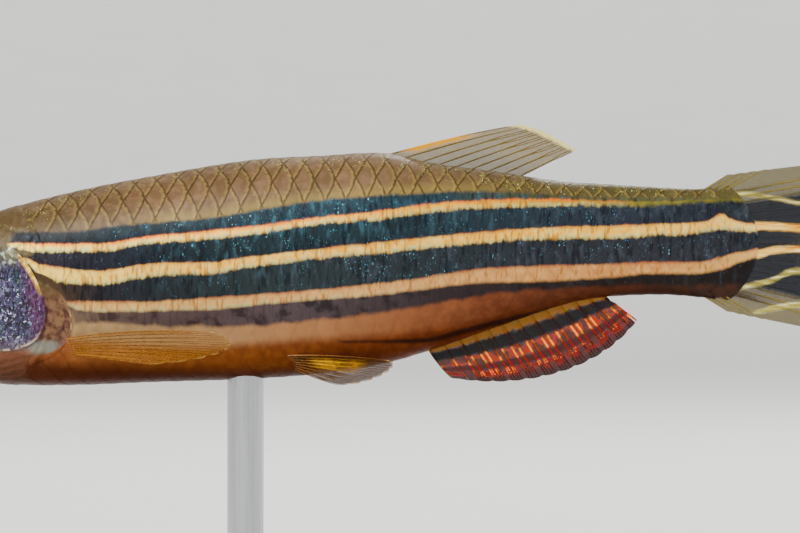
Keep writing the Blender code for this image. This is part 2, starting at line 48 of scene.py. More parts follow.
STATIONS = (
    (0.000, -0.0495, -0.0565, 0.008),
    (0.009, -0.0370, -0.0680, 0.018),
    (0.038, -0.0170, -0.1060, 0.036),
    (0.096, 0.0130, -0.1460, 0.053),
    (0.153, 0.0370, -0.1620, 0.062),
    (0.240, 0.0600, -0.1640, 0.068),
    (0.320, 0.0760, -0.1610, 0.071),
    (0.441, 0.0960, -0.1570, 0.072),
    (0.522, 0.1010, -0.1510, 0.070),
    (0.597, 0.1040, -0.1390, 0.065),
    (0.649, 0.0930, -0.1240, 0.058),
    (0.729, 0.0820, -0.0960, 0.046),
    (0.804, 0.0710, -0.0710, 0.035),
    (0.847, 0.0685, -0.0630, 0.029),
    (0.914, 0.0645, -0.0600, 0.022),
    (0.960, 0.0630, -0.0630, 0.017),
    (1.000, 0.0680, -0.0680, 0.012),
)
HEAD_POWER = 2.6
BODY_POWER = 2.15
POWER_BLEND = (0.12, 0.34)
NECK_CENTRE = (0.0773, -0.0592)
NECK_RADIUS = 0.1352
GILL_CENTRE = (0.1845, -0.0700)
GILL_HALF_LENGTH = 0.0265
GILL_HALF_HEIGHT = 0.0620
EYE_CENTRE = (0.0968, -0.0392)
EYE_RADIUS = 0.0014
EYE_DEPTH = 0.00055
EYE_SINK = 0.00034
EYE_TILT = 11.0
EYE_TURN = 9.0
MOUTH_FRONT = (-0.020, -0.0268)
MOUTH_CORNER = (0.038, -0.0800)
JAW_THROAT = (0.085, -0.1500)
NOSTRILS = ((0.034, 52.0, 0.00017), (0.050, 54.0, 0.00014))
BARBELS = ((17.0, 0.013, 0.0018, 0.62, -0.22), (-8.0, 0.041, 0.0040, 0.46, -0.44))
DORSAL_BASE = (0.5968, 0.7550)
DORSAL_MARGIN = ((0.7523, 0.1370), (0.7820, 0.1345), (0.8000, 0.1180), (0.8191, 0.1083))
ANAL_BASE = (0.6450, 0.8500)
ANAL_MARGIN = ((0.6717, -0.1555), (0.7450, -0.1700), (0.8400, -0.1550), (0.8870, -0.0910))
CAUDAL_FRONT = 0.962
CAUDAL_FORK = (1.165, -0.006)
CAUDAL_SHORT_PART = 0.2885
CAUDAL_UPPER = (((0.990, 0.079), (1.045, 0.0865)), ((1.260, 0.113), (1.235, 0.075), (1.185, 0.030)))
CAUDAL_LOWER = (((0.990, -0.079), (1.040, -0.0900)), ((1.260, -0.135), (1.235, -0.092), (1.185, -0.042)))
PECTORAL_ROOT = ((0.2316, -0.1094), (0.2396, -0.1279))
PECTORAL_MARGIN = (
    (0.4032, -0.1000, 0.0061),
    (0.4520, -0.1080, 0.0059),
    (0.4300, -0.1320, 0.0043),
    (0.3300, -0.1380, 0.0032),
)
PELVIC_ROOT = ((0.4931, 38.0), (0.4990, 20.0))
PELVIC_MARGIN = (
    (0.6000, -0.1340, 0.0022),
    (0.6240, -0.1380, 0.0019),
    (0.5900, -0.1620, 0.0012),
    (0.5450, -0.1630, 0.0009),
)
SIDE_NAMES = {-1: "left", 1: "right"}
SHARP_ANGLE = 50.0
SNOUT_TRIM = 0.00009

# The photograph's frame: its size, and the snout's place and the body's level line in its pixels.
FRAME_PIXELS = (800, 533)
SNOUT_PIXEL = -133.0
LINE_PIXEL = 243.0
LENGTH_PIXELS = 868.0
PIXEL = STANDARD_LENGTH / LENGTH_PIXELS

# Coat: depth of the skin under the solids' surface where scales cover it, and the scales' own sizes.
COAT_DEPTH = 0.00009
SCALE_THICKNESS = 0.000012
SCALE_ROWS = 11
SCALE_COLUMNS = 36
SCALE_PITCH_RATIO = 0.84
SCALE_END = 0.990
SCALE_LENGTH = 2.1
SCALE_HALF_HEIGHT = 1.42
SCALE_GRID = (11, 9)
SCALE_START = 0.148
SCALE_SINK = 0.000012
SCALE_CROWN = 0.000005
# A scale's parts in its patch of the bake map: left, low, wide, high.
PATCH_PARTS = {
    "upper": (0.06, 0.07, 0.66, 0.86),
    "lower": (0.80, 0.06, 0.17, 0.88),
    "rim": (0.02, 0.02, 0.74, 0.96),
}

# Skin: stretches of the body's length with a count of rings each, its columns, and its end at the tail.
SKIN_RINGS = ((0.0035, 0.105, 150), (0.105, 0.25, 150), (0.25, 0.94, 80), (0.94, 1.0, 30))
SKIN_COLUMNS = 115
TAIL_TAPER = 0.945
TAIL_END = (0.985, 0.042)
TAIL_END_HALF_WIDTH = 0.00005

# Gill cover and the skin flap behind it, in the photograph's pixels.
GILL_OUTLINE = (
    (15, 248), (31, 263), (43, 284), (50, 308), (47, 328), (38, 341), (22, 348), (2, 350), (-16, 342),
    (-24, 305), (-16, 270), (0, 253),
)
GILL_MIDDLE = (16, 304)
FLAP_MIDDLE = (30, 322)
FLAP_HALF_SIZE = (46, 42)
STRIPE_START = (
    (225, 16), (237, 16), (247, 12), (254, 38), (261, 22), (270, 36), (280, 58), (292, 68), (305, 72),
    (320, 78), (335, 74), (350, 58), (365, 30),
)

# Stripes on the flank, read from the photograph in its pixels: place, middle, half width.
GOLD_UPPER = (
    (14, 245, 2), (40, 248, 4.2), (75, 248, 3.8), (110, 247, 3.4), (145, 241, 3.4), (180, 238, 3.8),
    (207, 236, 4), (250, 231, 3.8), (285, 226, 3.5), (320, 221, 3.5), (367, 217, 4), (425, 209, 4.4),
    (474, 205, 4), (530, 203, 4), (580, 203, 3), (640, 204, 2.5), (735, 200, 2),
)
GOLD_MIDDLE = (
    (24, 259, 2), (45, 270, 6), (75, 276, 7.5), (103, 277, 7), (145, 271, 6.5), (180, 268, 6),
    (207, 268, 6), (250, 262, 5.2), (285, 258, 5), (320, 253.5, 5), (367, 249, 5.4), (425, 243, 5.6),
    (474, 238, 5.5), (530, 234, 5.8), (600, 232, 6.2), (650, 230, 6), (700, 227, 5.6), (713, 224, 6.2),
    (721, 221, 7.8), (729, 224, 6), (740, 226, 4.6), (775, 229, 3.5), (830, 229, 3),
)
GOLD_LOWER = (
    (70, 303, 2), (85, 305, 4.4), (103, 306, 5), (145, 306, 4.8), (180, 304.5, 5.2), (207, 303.5, 6),
    (250, 300, 5.4), (285, 297, 5), (320, 294, 5), (367, 290, 5.6), (425, 283, 6), (474, 276, 7),
    (530, 274, 8), (600, 271, 7), (650, 268, 6), (705, 267, 6), (725, 262, 6.5), (740, 257, 5),
    (775, 251, 4), (830, 251, 3),
)
UPPER_DARK_TOP = (
    (10, 232), (45, 232), (75, 232), (110, 227), (145, 224), (180, 221), (207, 219), (250, 212),
    (285, 206), (320, 201), (367, 197), (425, 194), (474, 192), (530, 194), (600, 198), (735, 198),
)
LOWER_DARK_BOTTOM = (
    (70, 322), (110, 322), (145, 324), (207, 326), (250, 325), (285, 322), (320, 320), (367, 314),
    (425, 305), (474, 296), (530, 290), (600, 286), (660, 284), (735, 284),
)
TAN_BOTTOM = (
    (60, 338), (110, 342), (207, 347), (250, 343), (320, 338), (367, 335), (425, 330), (474, 322),
    (530, 309), (600, 297), (660, 290), (735, 288),
)
TAIL_STREAKS = (
    (
        (722, 194, 1.5), (740, 194, 2.4), (757, 195, 2.4), (775, 198, 1.8), (800, 203, 2), (860, 206, 2.4),
        (960, 200, 2),
    ),
    (
        (715, 220, 6.5), (745, 226, 4.8), (760, 226, 4), (800, 228, 3.6), (860, 229, 3.6), (920, 233, 3),
    ),
    (
        (705, 267, 6), (738, 257, 5), (757, 254.5, 4), (775, 250, 3.4), (800, 249, 3), (860, 252, 3.4),
        (920, 258, 3),
    ),
    (
        (735, 288, 1.8), (750, 285.5, 2.4), (770, 281, 2.6), (800, 271, 3.2), (860, 276, 4),
        (950, 300, 3.4),
    ),
    (
        (752, 312, 1.6), (775, 308, 3.2), (800, 305, 3.2), (860, 314, 3.6), (960, 336, 3),
    ),
)
EDGE_TRIM = 0.45
LOWEST_DARK = (
    (340, 341, 1), (425, 340, 2.5), (460, 332, 3), (495, 323, 3), (530, 315, 3), (565, 308, 3),
    (610, 303, 2),
)

# Stretches of the photograph's width and height, in pixels, that the markings' curves cover.
ACROSS = (-140.0, 1000.0)
DOWN = (150.0, 400.0)
# Below the next curve the belly's colour is darkened, as painted shade.
BELLY_SHADE_LINE = ((0, 350), (80, 356), (300, 362), (420, 350), (600, 306), (735, 296))
CREST = ((0, 215), (100, 180), (200, 160), (330, 154), (470, 166), (560, 184), (740, 190))

# Range of a fin's band that covers all of it: start, full, fading, end.
ALL = (-1.0, -0.9, 1.9, 2.0)

# Relief in metres. Each ridge or groove is its height, its place and its half width.
LIP_RIDGES = (
    (-0.00026, 0.0, 0.00005), (0.00011, 0.00021, 0.00014), (0.000121, -0.00023, 0.00015),
    (-0.00005, -0.00052, 0.00011), (-0.000035, 0.00048, 0.00010),
)
JAW_RIDGES = ((-0.00004, 0.0, 0.00009), (0.00002, -0.00022, 0.00015))
SOCKET_DEPTH = 0.00062
EYE_RIM = ((0.00005, 0.00151, 0.00007),)
EYE_RING = ((-0.000022, 0.00197, 0.00007),)
BONE_SEAM = -0.00003
CHEEK_CENTRE = (0.072, -0.070)
CHEEK_HALF_SIZE = (0.050, 0.072)
CHEEK_RIDGES = ((-0.00007, 0.0, 0.026), (0.00003, -0.09, 0.05))
THROAT_FOLDS = (-0.1385, -0.1460, -0.1535)
SKIN_WAVES = (
    (5200, 1700, 900), (-2100, 4300, 2600), (1500, -3100, 6100), (7800, 2500, -5200), (3300, 9100, 4100),
)
SKIN_WAVE_HEIGHT = 0.0000035
FLAP_HEIGHT = 0.00007
FLAP_RIDGES = ((0.000015, 0.975, 0.018), (-0.00003, 1.06, 0.03))
SNOUT_BULGE = 0.00006
BARBEL_SINK = 0.00035
BARBEL_ROOT = 0.00020
BARBEL_RADIUS = 0.00013
BARBEL_TIP = 0.00003
MEMBRANE_SAG = 0.000018


def x_at(share):
    return SNOUT_X + share * STANDARD_LENGTH


def z_at(height):
    return LINE_HEIGHT + height * STANDARD_LENGTH


def share_of_pixel(pixel):
    return (pixel - SNOUT_PIXEL) / LENGTH_PIXELS


def height_of_pixel(pixel):
    return (LINE_PIXEL - pixel) / LENGTH_PIXELS


def side_point(share, height, y=0.0):
    return np.array((x_at(share), y, z_at(height)))


def smooth_step(low, high, value):
    t = np.clip((value - low) / (high - low), 0.0, 1.0)
    return t * t * (3 - 2 * t)


def bump(value, width):
    """Bell of height 1 round zero."""
    return np.exp(-((value / width) ** 2))


def unit(vectors):
    return vectors / np.maximum(np.linalg.norm(vectors, axis=-1, keepdims=True), 1e-12)


PLACES = np.array([row[0] for row in STATIONS])


def station_curve(column, share):
    """Values of a column of STATIONS at places, by a smooth curve through the stations."""
    values = np.array([row[column] for row in STATIONS])
    last = len(PLACES) - 1
    share = np.clip(share, PLACES[0], PLACES[last])
    i = np.clip(np.searchsorted(PLACES, share, side="right") - 1, 0, last - 1)
    step = PLACES[i + 1] - PLACES[i]
    numbers = np.arange(last + 1)
    low, high = np.maximum(numbers - 1, 0), np.minimum(numbers + 1, last)
    slopes = (values[high] - values[low]) / (PLACES[high] - PLACES[low])
    t = (share - PLACES[i]) / step
    start = values[i] * (1 + 2 * t) * (1 - t) ** 2 + slopes[i] * step * t * (1 - t) ** 2
    end = values[i + 1] * (3 - 2 * t) * t**2 + slopes[i + 1] * step * t**2 * (t - 1)
    return start + end


def section(share):
    """Back and belly height above the floor, half width, and fullness at places along the fish."""
    blend = np.clip((share - POWER_BLEND[0]) / (POWER_BLEND[1] - POWER_BLEND[0]), 0.0, 1.0)
    power = HEAD_POWER + (BODY_POWER - HEAD_POWER) * blend
    back, belly, half_width = (station_curve(column, share) for column in (1, 2, 3))
    return z_at(back), z_at(belly), half_width * STANDARD_LENGTH, power


def body_point(share, angle):
    """Points of the solids' surface; in degrees, angle 0 is the right side, 90 the back, 180 the left."""
    share, angle = np.broadcast_arrays(np.asarray(share, float), np.radians(angle))
    back, belly, half_width, power = section(share)
    across = np.sign(np.cos(angle)) * np.abs(np.cos(angle)) ** (2 / power)
    up = np.sign(np.sin(angle)) * np.abs(np.sin(angle)) ** (2 / power)
    z = (back + belly) / 2 + (back - belly) / 2 * up
    return np.stack([x_at(share), half_width * across, z], axis=-1)


def body_normal(share, angle, share_step=4e-4, angle_step=1.5):
    along = body_point(np.add(share, share_step), angle) - body_point(np.subtract(share, share_step), angle)
    around = body_point(share, np.add(angle, angle_step)) - body_point(share, np.subtract(angle, angle_step))
    return unit(np.cross(around, along))


def flank(x, z):
    """Half width of the body at a place and height, seen from the side."""
    back, belly, half_width, power = section((x - SNOUT_X) / STANDARD_LENGTH)
    up = np.minimum(1.0, np.abs(z - (back + belly) / 2) / ((back - belly) / 2))
    return half_width * (1 - up**power) ** (1 / power)


def share_of(points):
    """Places of points along the body, as shares of the standard length."""
    return (points[..., 0] - SNOUT_X) / STANDARD_LENGTH


def height_of(points):
    """Heights of points over the body's level line, as shares of the standard length."""
    return (points[..., 2] - LINE_HEIGHT) / STANDARD_LENGTH


class Girth:
    """Angles round the body by the share of the way from the back to the belly, measured along the skin."""

    shares = np.linspace(0, 1, 241)
    ways = np.linspace(0, 1, 401)

    def __init__(self):
        angles = np.linspace(90, -90, 721)
        points = body_point(self.shares[:, None], angles[None, :])
        steps = np.linalg.norm(np.diff(points, axis=1), axis=-1)
        run = np.concatenate([np.zeros((len(self.shares), 1)), np.cumsum(steps, axis=1)], axis=1)
        self.table = np.stack([np.interp(self.ways, row / row[-1], angles) for row in run])

    def angle(self, share, way):
        """Angle on the right side; the left side has 180 less this."""
        share, way = np.broadcast_arrays(share, way)
        a = np.clip(share, 0, 1) * (len(self.shares) - 1)
        b = np.clip(way, 0, 1) * (len(self.ways) - 1)
        i = np.minimum(a.astype(int), len(self.shares) - 2)
        j = np.minimum(b.astype(int), len(self.ways) - 2)
        a, b = a - i, b - j
        near, far = (self.table[k, j] * (1 - b) + self.table[k, j + 1] * b for k in (i, i + 1))
        return near * (1 - a) + far * a


girth = Girth()


def grid_faces(rows, columns, start=0, closed=False, flip=False):
    """Quads of a grid of points numbered row by row; closed joins each row's last point to its first."""
    index = np.arange(rows * columns).reshape(rows, columns) + start
    if closed:
        index = np.concatenate([index, index[:, :1]], axis=1)
    corners = [index[:-1, :-1], index[:-1, 1:], index[1:, 1:], index[1:, :-1]]
    quads = np.stack(corners, axis=-1).reshape(-1, 4)
    return (quads[:, ::-1] if flip else quads).tolist()


def grid_rim(rows, columns):
    """Pairs of neighbouring point numbers round the edge of a grid."""
    index = np.arange(rows * columns).reshape(rows, columns)
    around = np.concatenate([index[:-1, 0], index[-1, :-1], index[:0:-1, -1], index[0, :0:-1]]).tolist()
    return list(zip(around, around[1:] + around[:1]))


def tube_faces(rings, sides):
    """Quads of a tube numbered ring by ring, with a face over each end."""
    last = (rings - 1) * sides
    return grid_faces(rings, sides, closed=True) + [list(range(sides))[::-1], list(range(last, last + sides))]


def tube_points(path, aside, above, radius, sides):
    """Points of a tube round a path, from its two cross directions and its radius at each point."""
    turn = np.linspace(0, 2 * math.pi, sides, endpoint=False)[None, :, None]
    ring = np.cos(turn) * aside[:, None] + np.sin(turn) * above[:, None]
    return path[:, None] + ring * radius[:, None, None]


def mesh_object(name, points, faces, attributes=None):
    """Smooth-shaded mesh object with named float attributes on its points."""
    mesh = bpy.data.meshes.new(name)
    mesh.from_pydata(np.asarray(points, float).reshape(-1, 3).tolist(), [], faces)
    for key, values in (attributes or {}).items():
        layer = mesh.attributes.new(key, "FLOAT", "POINT")
        layer.data.foreach_set("value", np.asarray(values, np.float32).ravel())
    mesh.shade_smooth()
    mesh.set_sharp_from_angle(angle=math.radians(SHARP_ANGLE))
    mesh.update()
    return placed(name, mesh)


class Pile:
    """Points, faces and float attributes of several shapes that become one mesh."""

    def __init__(self, *attribute_names):
        self.points = []
        self.faces = []
        self.count = 0
        self.attributes = {key: [] for key in attribute_names}

    def add(self, points, faces, **values):
        points = np.asarray(points, float).reshape(-1, 3)
        self.points.append(points)
        self.faces.extend([[corner + self.count for corner in face] for face in faces])
        self.count += len(points)
        for key, stored in self.attributes.items():
            value = np.asarray(values.get(key, 0.0), float).ravel()
            stored.append(value if value.size == len(points) else np.full(len(points), value[0]))

    def build(self, name):
        attributes = {key: np.concatenate(stored) for key, stored in self.attributes.items()}
        return mesh_object(name, np.concatenate(self.points), self.faces, attributes)


# Relief of the skin

def eye_matrix(side):
    """Place of an eye, its own Y axis pointing out of the head on the right side and into it on the left."""
    centre = Vector(side_point(*EYE_CENTRE))
    centre.y = side * (float(flank(centre.x, centre.z)) - EYE_SINK)
    tilt = Matrix.Rotation(math.radians(side * EYE_TILT), 4, "X")
    turn = Matrix.Rotation(math.radians(side * EYE_TURN), 4, "Z")
    return Matrix.Translation(centre) @ turn @ tilt


def eye_distance(points):
    """Distance of points from the axis of the eye on their side, and which way round it they lie."""
    distance = np.full(points.shape[:-1], 1.0)
    turn = np.zeros(points.shape[:-1])
    for side in SIDE_NAMES:
        inverse = np.array(eye_matrix(side).inverted())
        local = points @ inverse[:3, :3].T + inverse[:3, 3]
        near = points[..., 1] * side > 0
        distance = np.where(near, np.hypot(local[..., 0], local[..., 2]), distance)
        turn = np.where(near, np.arctan2(local[..., 2], local[..., 0]), turn)
    return distance, turn


def placed(name, data):
    """A new object in the scene."""
    made = bpy.data.objects.new(name, data)
    bpy.context.scene.collection.objects.link(made)
    return made


def axes(start, end):
    """Direction from one point of the middle plane to another, and the direction square to it."""
    along = unit(end - start)
    return along, np.array((-along[2], 0.0, along[0]))


def neck_distance(points):
    """Distance behind the arc at the head's rear edge, as a share of the length; the head is negative."""
    return np.hypot(share_of(points) - NECK_CENTRE[0], height_of(points) - NECK_CENTRE[1]) - NECK_RADIUS


def gill_place(points):
    """Distance from the middle of the gill cover's oval, 1 on its edge, and its part towards the tail."""
    back = (share_of(points) - GILL_CENTRE[0]) / GILL_HALF_LENGTH
    return np.hypot(back, (height_of(points) - GILL_CENTRE[1]) / GILL_HALF_HEIGHT), back


def ridges(distance, rows):
    """Sum of bells, each given as its height, place and half width."""
    return sum(height * bump(distance - place, width) for height, place, width in rows)


def mouth_relief(points):
    """Open line of the mouth between two lips, and the creases behind its corner and under the lower lip."""
    front, corner, throat = (side_point(*place) for place in (MOUTH_FRONT, MOUTH_CORNER, JAW_THROAT))
    along, out = axes(front, corner)
    down, beside = axes(corner, throat)
    from_corner = points - corner
    lips = ridges(from_corner @ out, LIP_RIDGES) * smooth_step(0.00010, -0.00045, from_corner @ along)
    jaw, length = from_corner @ down, np.linalg.norm(throat - corner)
    on_jaw = smooth_step(-0.0004, 0.0002, jaw) * smooth_step(length * 1.02, length * 0.7, jaw)
    return lips + ridges(from_corner @ beside, JAW_RIDGES) * on_jaw


def eye_relief(points):
    """Socket with a raised rim, and the low bones round it."""
    distance, turn = eye_distance(points)
    socket = -SOCKET_DEPTH * smooth_step(0.00145, 0.00134, distance)
    below = smooth_step(0.5, -0.2, np.sin(turn))
    seams = np.abs(np.sin(3.5 * turn + 0.6))
    bones = BONE_SEAM * bump(seams, 0.10) * bump(distance - 0.00175, 0.00022) * below
    ring = (ridges(distance, EYE_RING) + bones) * smooth_step(0.0015, 0.0017, distance) * below
    return socket + ridges(distance, EYE_RIM) + ring


def nostril_relief(points):
    relief = np.zeros(points.shape[:-1])
    for share, angle, radius in NOSTRILS:
        for turned in (angle, 180 - angle):
            distance = np.linalg.norm(points - body_point(share, turned), axis=-1)
            relief += -1.1 * radius * smooth_step(radius, 0.55 * radius, distance)
            relief += 0.00004 * bump(distance - 1.25 * radius, 0.35 * radius)
    return relief


def cheek_relief(points):
    """Edge of the cheek bone in front of the gill cover, the throat's folds and the gill opening."""
    share, height = share_of(points), height_of(points)
    radius, back = gill_place(points)
    across = (share - CHEEK_CENTRE[0]) / CHEEK_HALF_SIZE[0]
    up = (height - CHEEK_CENTRE[1]) / CHEEK_HALF_SIZE[1]
    arc = np.hypot(across, up) - 1
    cheek = ridges(arc, CHEEK_RIDGES) * smooth_step(-0.020, -0.045, height) * smooth_step(0.075, 0.100, share)
    opening = -0.00006 * bump(radius - 1.06, 0.05) * smooth_step(-0.2, 0.3, back)
    folds = sum(bump(height - level - 0.25 * (share - 0.16), 0.0016) for level in THROAT_FOLDS)
    folds = -0.00004 * folds * smooth_step(0.085, 0.115, share) * smooth_step(0.215, 0.19, share)
    return cheek + opening + folds


def fine_relief(points):
    """Slight unevenness of the skin, from waves of a few directions and lengths."""
    waves = sum(np.sin(points @ np.array(wave, float) * 2.3 + k) for k, wave in enumerate(SKIN_WAVES))
    return SKIN_WAVE_HEIGHT * waves


def flap_radius(points):
    """1 on the rear edge of the skin flap behind the gill cover, less inside."""
    across = (share_of(points) - share_of_pixel(FLAP_MIDDLE[0])) * LENGTH_PIXELS
    up = (height_of(points) - height_of_pixel(FLAP_MIDDLE[1])) * LENGTH_PIXELS
    return np.hypot(across / FLAP_HALF_SIZE[0], up / FLAP_HALF_SIZE[1])


def coat_depth(points):
    """How far the skin lies under the solids' surface, to make room for the scales."""
    on_coat = smooth_step(0.004, 0.016, neck_distance(points)) * smooth_step(0.995, 0.975, share_of(points))
    return COAT_DEPTH * on_coat


def flap_relief(points):
    """Skin flap behind the gill cover, its rear edge free over the shoulder."""
    radius = flap_radius(points)
    raised = FLAP_HEIGHT * smooth_step(1.03, 0.985, radius) * smooth_step(0.45, 0.95, radius)
    behind = smooth_step(share_of_pixel(26), share_of_pixel(40), share_of(points))
    return (raised + ridges(radius, FLAP_RIDGES)) * behind


def skin_lift(points):
    in_head = smooth_step(0.012, -0.002, neck_distance(points))
    head = mouth_relief(points) + eye_relief(points) + nostril_relief(points) + cheek_relief(points)
    head = head - SNOUT_TRIM * smooth_step(0.03, 0.004, share_of(points))
    return head * in_head + fine_relief(points) - coat_depth(points) + flap_relief(points)


def tail_end(way):
    """Where the flesh ends over the roots of the tail's rays: furthest back in the middle."""
    return TAIL_END[0] + TAIL_END[1] * np.sin(math.pi * way) ** 0.7


def taper(points, share, way, thinnest):
    """Draws points in towards the middle plane where the flesh thins out into the tail fin."""
    close = smooth_step(TAIL_TAPER, tail_end(way), share) * (share > TAIL_TAPER)
    half_width = np.maximum(np.abs(points[..., 1]), thinnest)
    points[..., 1] *= 1 - close * (1 - thinnest / half_width)
    return points


def skin_points(share, way, side):
    share, way = np.broadcast_arrays(share, way)
    low, high, _ = SKIN_RINGS[-1]
    share = np.where(share > low, low + (share - low) / (high - low) * (tail_end(way) - low), share)
    angle = girth.angle(share, way)
    angle = angle if side > 0 else 180 - angle
    points = body_point(share, angle)
    points = points + body_normal(share, angle) * skin_lift(points)[..., None]
    return taper(points, share, way, TAIL_END_HALF_WIDTH)


def barbel_tube(pile, side, angle, share, length, swing, rise):
    """A feeler beside the mouth, thin as a real one."""
    root = body_point(share, angle if side > 0 else 180 - angle)
    sink = BARBEL_SINK
    controls = [
        root,
        root + (0.10 * length, side * (2 * sink + 0.3 * swing * length) - side * sink, 0.1 * rise * length),
        root + (0.55 * length, side * (swing * length - sink), 0.6 * rise * length),
        root + (0.95 * length, side * (0.9 * swing * length - sink), rise * length),
    ]
    t = np.linspace(0, 1, 26)
    path = bezier(controls, t)
    radius = BARBEL_RADIUS * (1 - t) ** 0.6 + BARBEL_TIP
    radius[0] = BARBEL_ROOT
    sides = 12
    aside = unit(np.cross(np.gradient(path, axis=0), (0.0, 0.0, 1.0)))
    above = np.cross(aside, unit(np.gradient(path, axis=0)))
    fleshy = np.repeat(smooth_step(0.0, 0.15, t), sides)
    pile.add(tube_points(path, aside, above, radius, sides), tube_faces(len(t), sides), barbel=fleshy)


def skin():
    """One skin over head, jaw, trunk and tail stem, with its barbels."""
    shares = np.concatenate([np.linspace(*ring, endpoint=False) for ring in SKIN_RINGS])
    shares = np.append(shares, SKIN_RINGS[-1][1])
    ways = np.linspace(0, 1, SKIN_COLUMNS + 1)
    right = skin_points(shares[:, None], ways[None, :], 1)
    left = skin_points(shares[:, None], ways[None, ::-1], -1)
    rings = np.concatenate([right, left[:, 1:-1]], axis=1)
    snout = rings[0]
    centre = snout.mean(axis=0)
    cap = []
    for t in np.linspace(0.15, 0.97, 9):
        ring = snout.copy()
        ring[:, 0] -= SNOUT_BULGE * (1 - t * t)
        ring[:, 1:] = centre[1:] + (snout[:, 1:] - centre[1:]) * t
        cap.append(ring)
    rings = np.concatenate([np.array(cap), rings])
    pile = Pile("barbel")
    pile.add(rings, tube_faces(*rings.shape[:2]))
    for side in SIDE_NAMES:
        for sizes in BARBELS:
            barbel_tube(pile, side, *sizes)
    return pile.build("skin")


# Scales

def scale_columns():
    """Places of the columns of scales, their pitch shrinking evenly towards the tail."""
    steps = np.linspace(1.0, SCALE_PITCH_RATIO, SCALE_COLUMNS)
    run = np.concatenate([[0.0], np.cumsum(steps)]) / steps.sum()
    places = SCALE_START + (SCALE_END - SCALE_START) * run
    return places[:-1], np.diff(places)


def scale_shape(place, pitch, row, side):
    """Upper and lower points of one scale, and how near each point is to its rear margin."""
    down, along = SCALE_GRID
    a = np.linspace(-1, 1, down)[:, None] * np.ones((1, along))
    b = np.linspace(0, 1, along)[None, :] ** 0.85 * np.ones((down, 1))
    reach = a * SCALE_HALF_HEIGHT
    rear = place + pitch * (1.0 - 0.5 * np.abs(reach) ** 1.4)
    front = place + pitch * (1.0 - SCALE_LENGTH + 0.25 * np.abs(a) ** 3)
    share = front + (rear - front) * b
    way = (row + reach) / SCALE_ROWS
    mirrored = np.where((way < 0) | (way > 1), -side, side)
    folded = 1 - np.abs(1 - np.abs(way))
    angle = girth.angle(share, folded)
    angle = np.where(mirrored > 0, angle, 180 - angle)
    base = body_point(share, angle)
    normal = body_normal(share, angle)
    rise = 0.55 * np.minimum(b / 0.35, 1.0) + 0.45 * b
    lift = (rise - 1) * coat_depth(base) - SCALE_SINK + SCALE_CROWN * (1 - a**2) * b
    upper = base + normal * lift[..., None]
    lower = base + normal * (lift - SCALE_THICKNESS)[..., None]
    at_tail = smooth_step(0.955, 0.998, share).mean()
    upper = taper(upper, share, folded, TAIL_END_HALF_WIDTH + 0.00005)
    lower = taper(lower, share, folded, TAIL_END_HALF_WIDTH + 0.00003 - 0.00002 * at_tail)
    return upper, lower, (rear - share) / pitch


def scale_faces():
    """Faces of a scale whose upper points come first, and the patch each face corner belongs to."""
    down, along = SCALE_GRID
    count = down * along
    upper = grid_faces(down, along)
    lower = grid_faces(down, along, start=count, flip=True)
    rim = [[one + count, two + count, two, one] for one, two in grid_rim(down, along)]
    return upper + lower + rim, [0] * len(upper) + [1] * len(lower) + [2] * len(rim)


def patch_corners(faces, parts):
    """Place in its patch of each corner of a scale's faces: upper side, lower side and rim lie apart."""
    down, along = SCALE_GRID
    places = []
    for face, part in zip(faces, parts):
        for corner in face:
            i, j = divmod(corner % (down * along), along)
            on_rim = part == 2 and corner >= down * along
            left, low, wide, high = PATCH_PARTS["lower" if part == 1 else "rim" if on_rim else "upper"]
            places.append((left + wide * j / (along - 1), low + high * i / (down - 1)))
    return np.array(places)


def scales(name, members):
    """One coat piece of scales given as (column, row, side), with a patch for each in its OFBake map."""
    places, pitches = scale_columns()
    faces, parts = scale_faces()
    corners = patch_corners(faces, parts)
    pile = Pile("margin", "tone")
    uvs = []
    random = np.random.default_rng(11)
    for column, row, side in members:
        stagger = 0.5 * (row % 2)
        place = places[column] + stagger * pitches[column]
        upper, lower, to_margin = scale_shape(place, pitches[column], row, side)
        points = np.concatenate([upper.reshape(-1, 3), lower.reshape(-1, 3)])
        own_faces = [face[::-1] for face in faces] if side < 0 else faces
        pile.add(points, own_faces, margin=np.tile(to_margin.ravel(), 2), tone=random.random())
        patch = (corners + (column + stagger, row)) / (len(places) + 1, SCALE_ROWS + 1)
        if side < 0:
            patch = patch.reshape(-1, 4, 2)[:, ::-1].reshape(-1, 2)
        uvs.append(patch)
    made = pile.build(name)
    layer = made.data.uv_layers.new(name="OFBake")
    layer.data.foreach_set("uv", np.concatenate(uvs).astype(np.float32).ravel())
    return made


def scale_members():
    """Which scales there are on each side and on the middle lines, those over the head left out."""
    places, pitches = scale_columns()
    sides = {1: [], -1: [], 0: []}
    for column in range(len(places)):
        for row in range(SCALE_ROWS + 1):
            place = places[column] + 0.5 * (row % 2) * pitches[column]
            point = body_point(place, girth.angle(place, row / SCALE_ROWS))
            if neck_distance(point) < 0.006 or flap_radius(point) < 1.10:
                continue
            if place + pitches[column] > SCALE_END + 0.012 - 0.022 * (2 * row / SCALE_ROWS - 1) ** 2:
                continue
            if row in (0, SCALE_ROWS):
                sides[0].append((column, row, 1))
                continue
            for side in SIDE_NAMES:
                sides[side].append((column, row, side))
    return sides


# Curves and fins

def bezier(points, t):
    """Points of the Bezier curve with these controls, at values t."""
    t = np.asarray(t, float)[..., None]
    points = [np.asarray(point, float) for point in points]
    while len(points) > 1:
        points = [a + (b - a) * t for a, b in zip(points, points[1:])]
    return points[0]


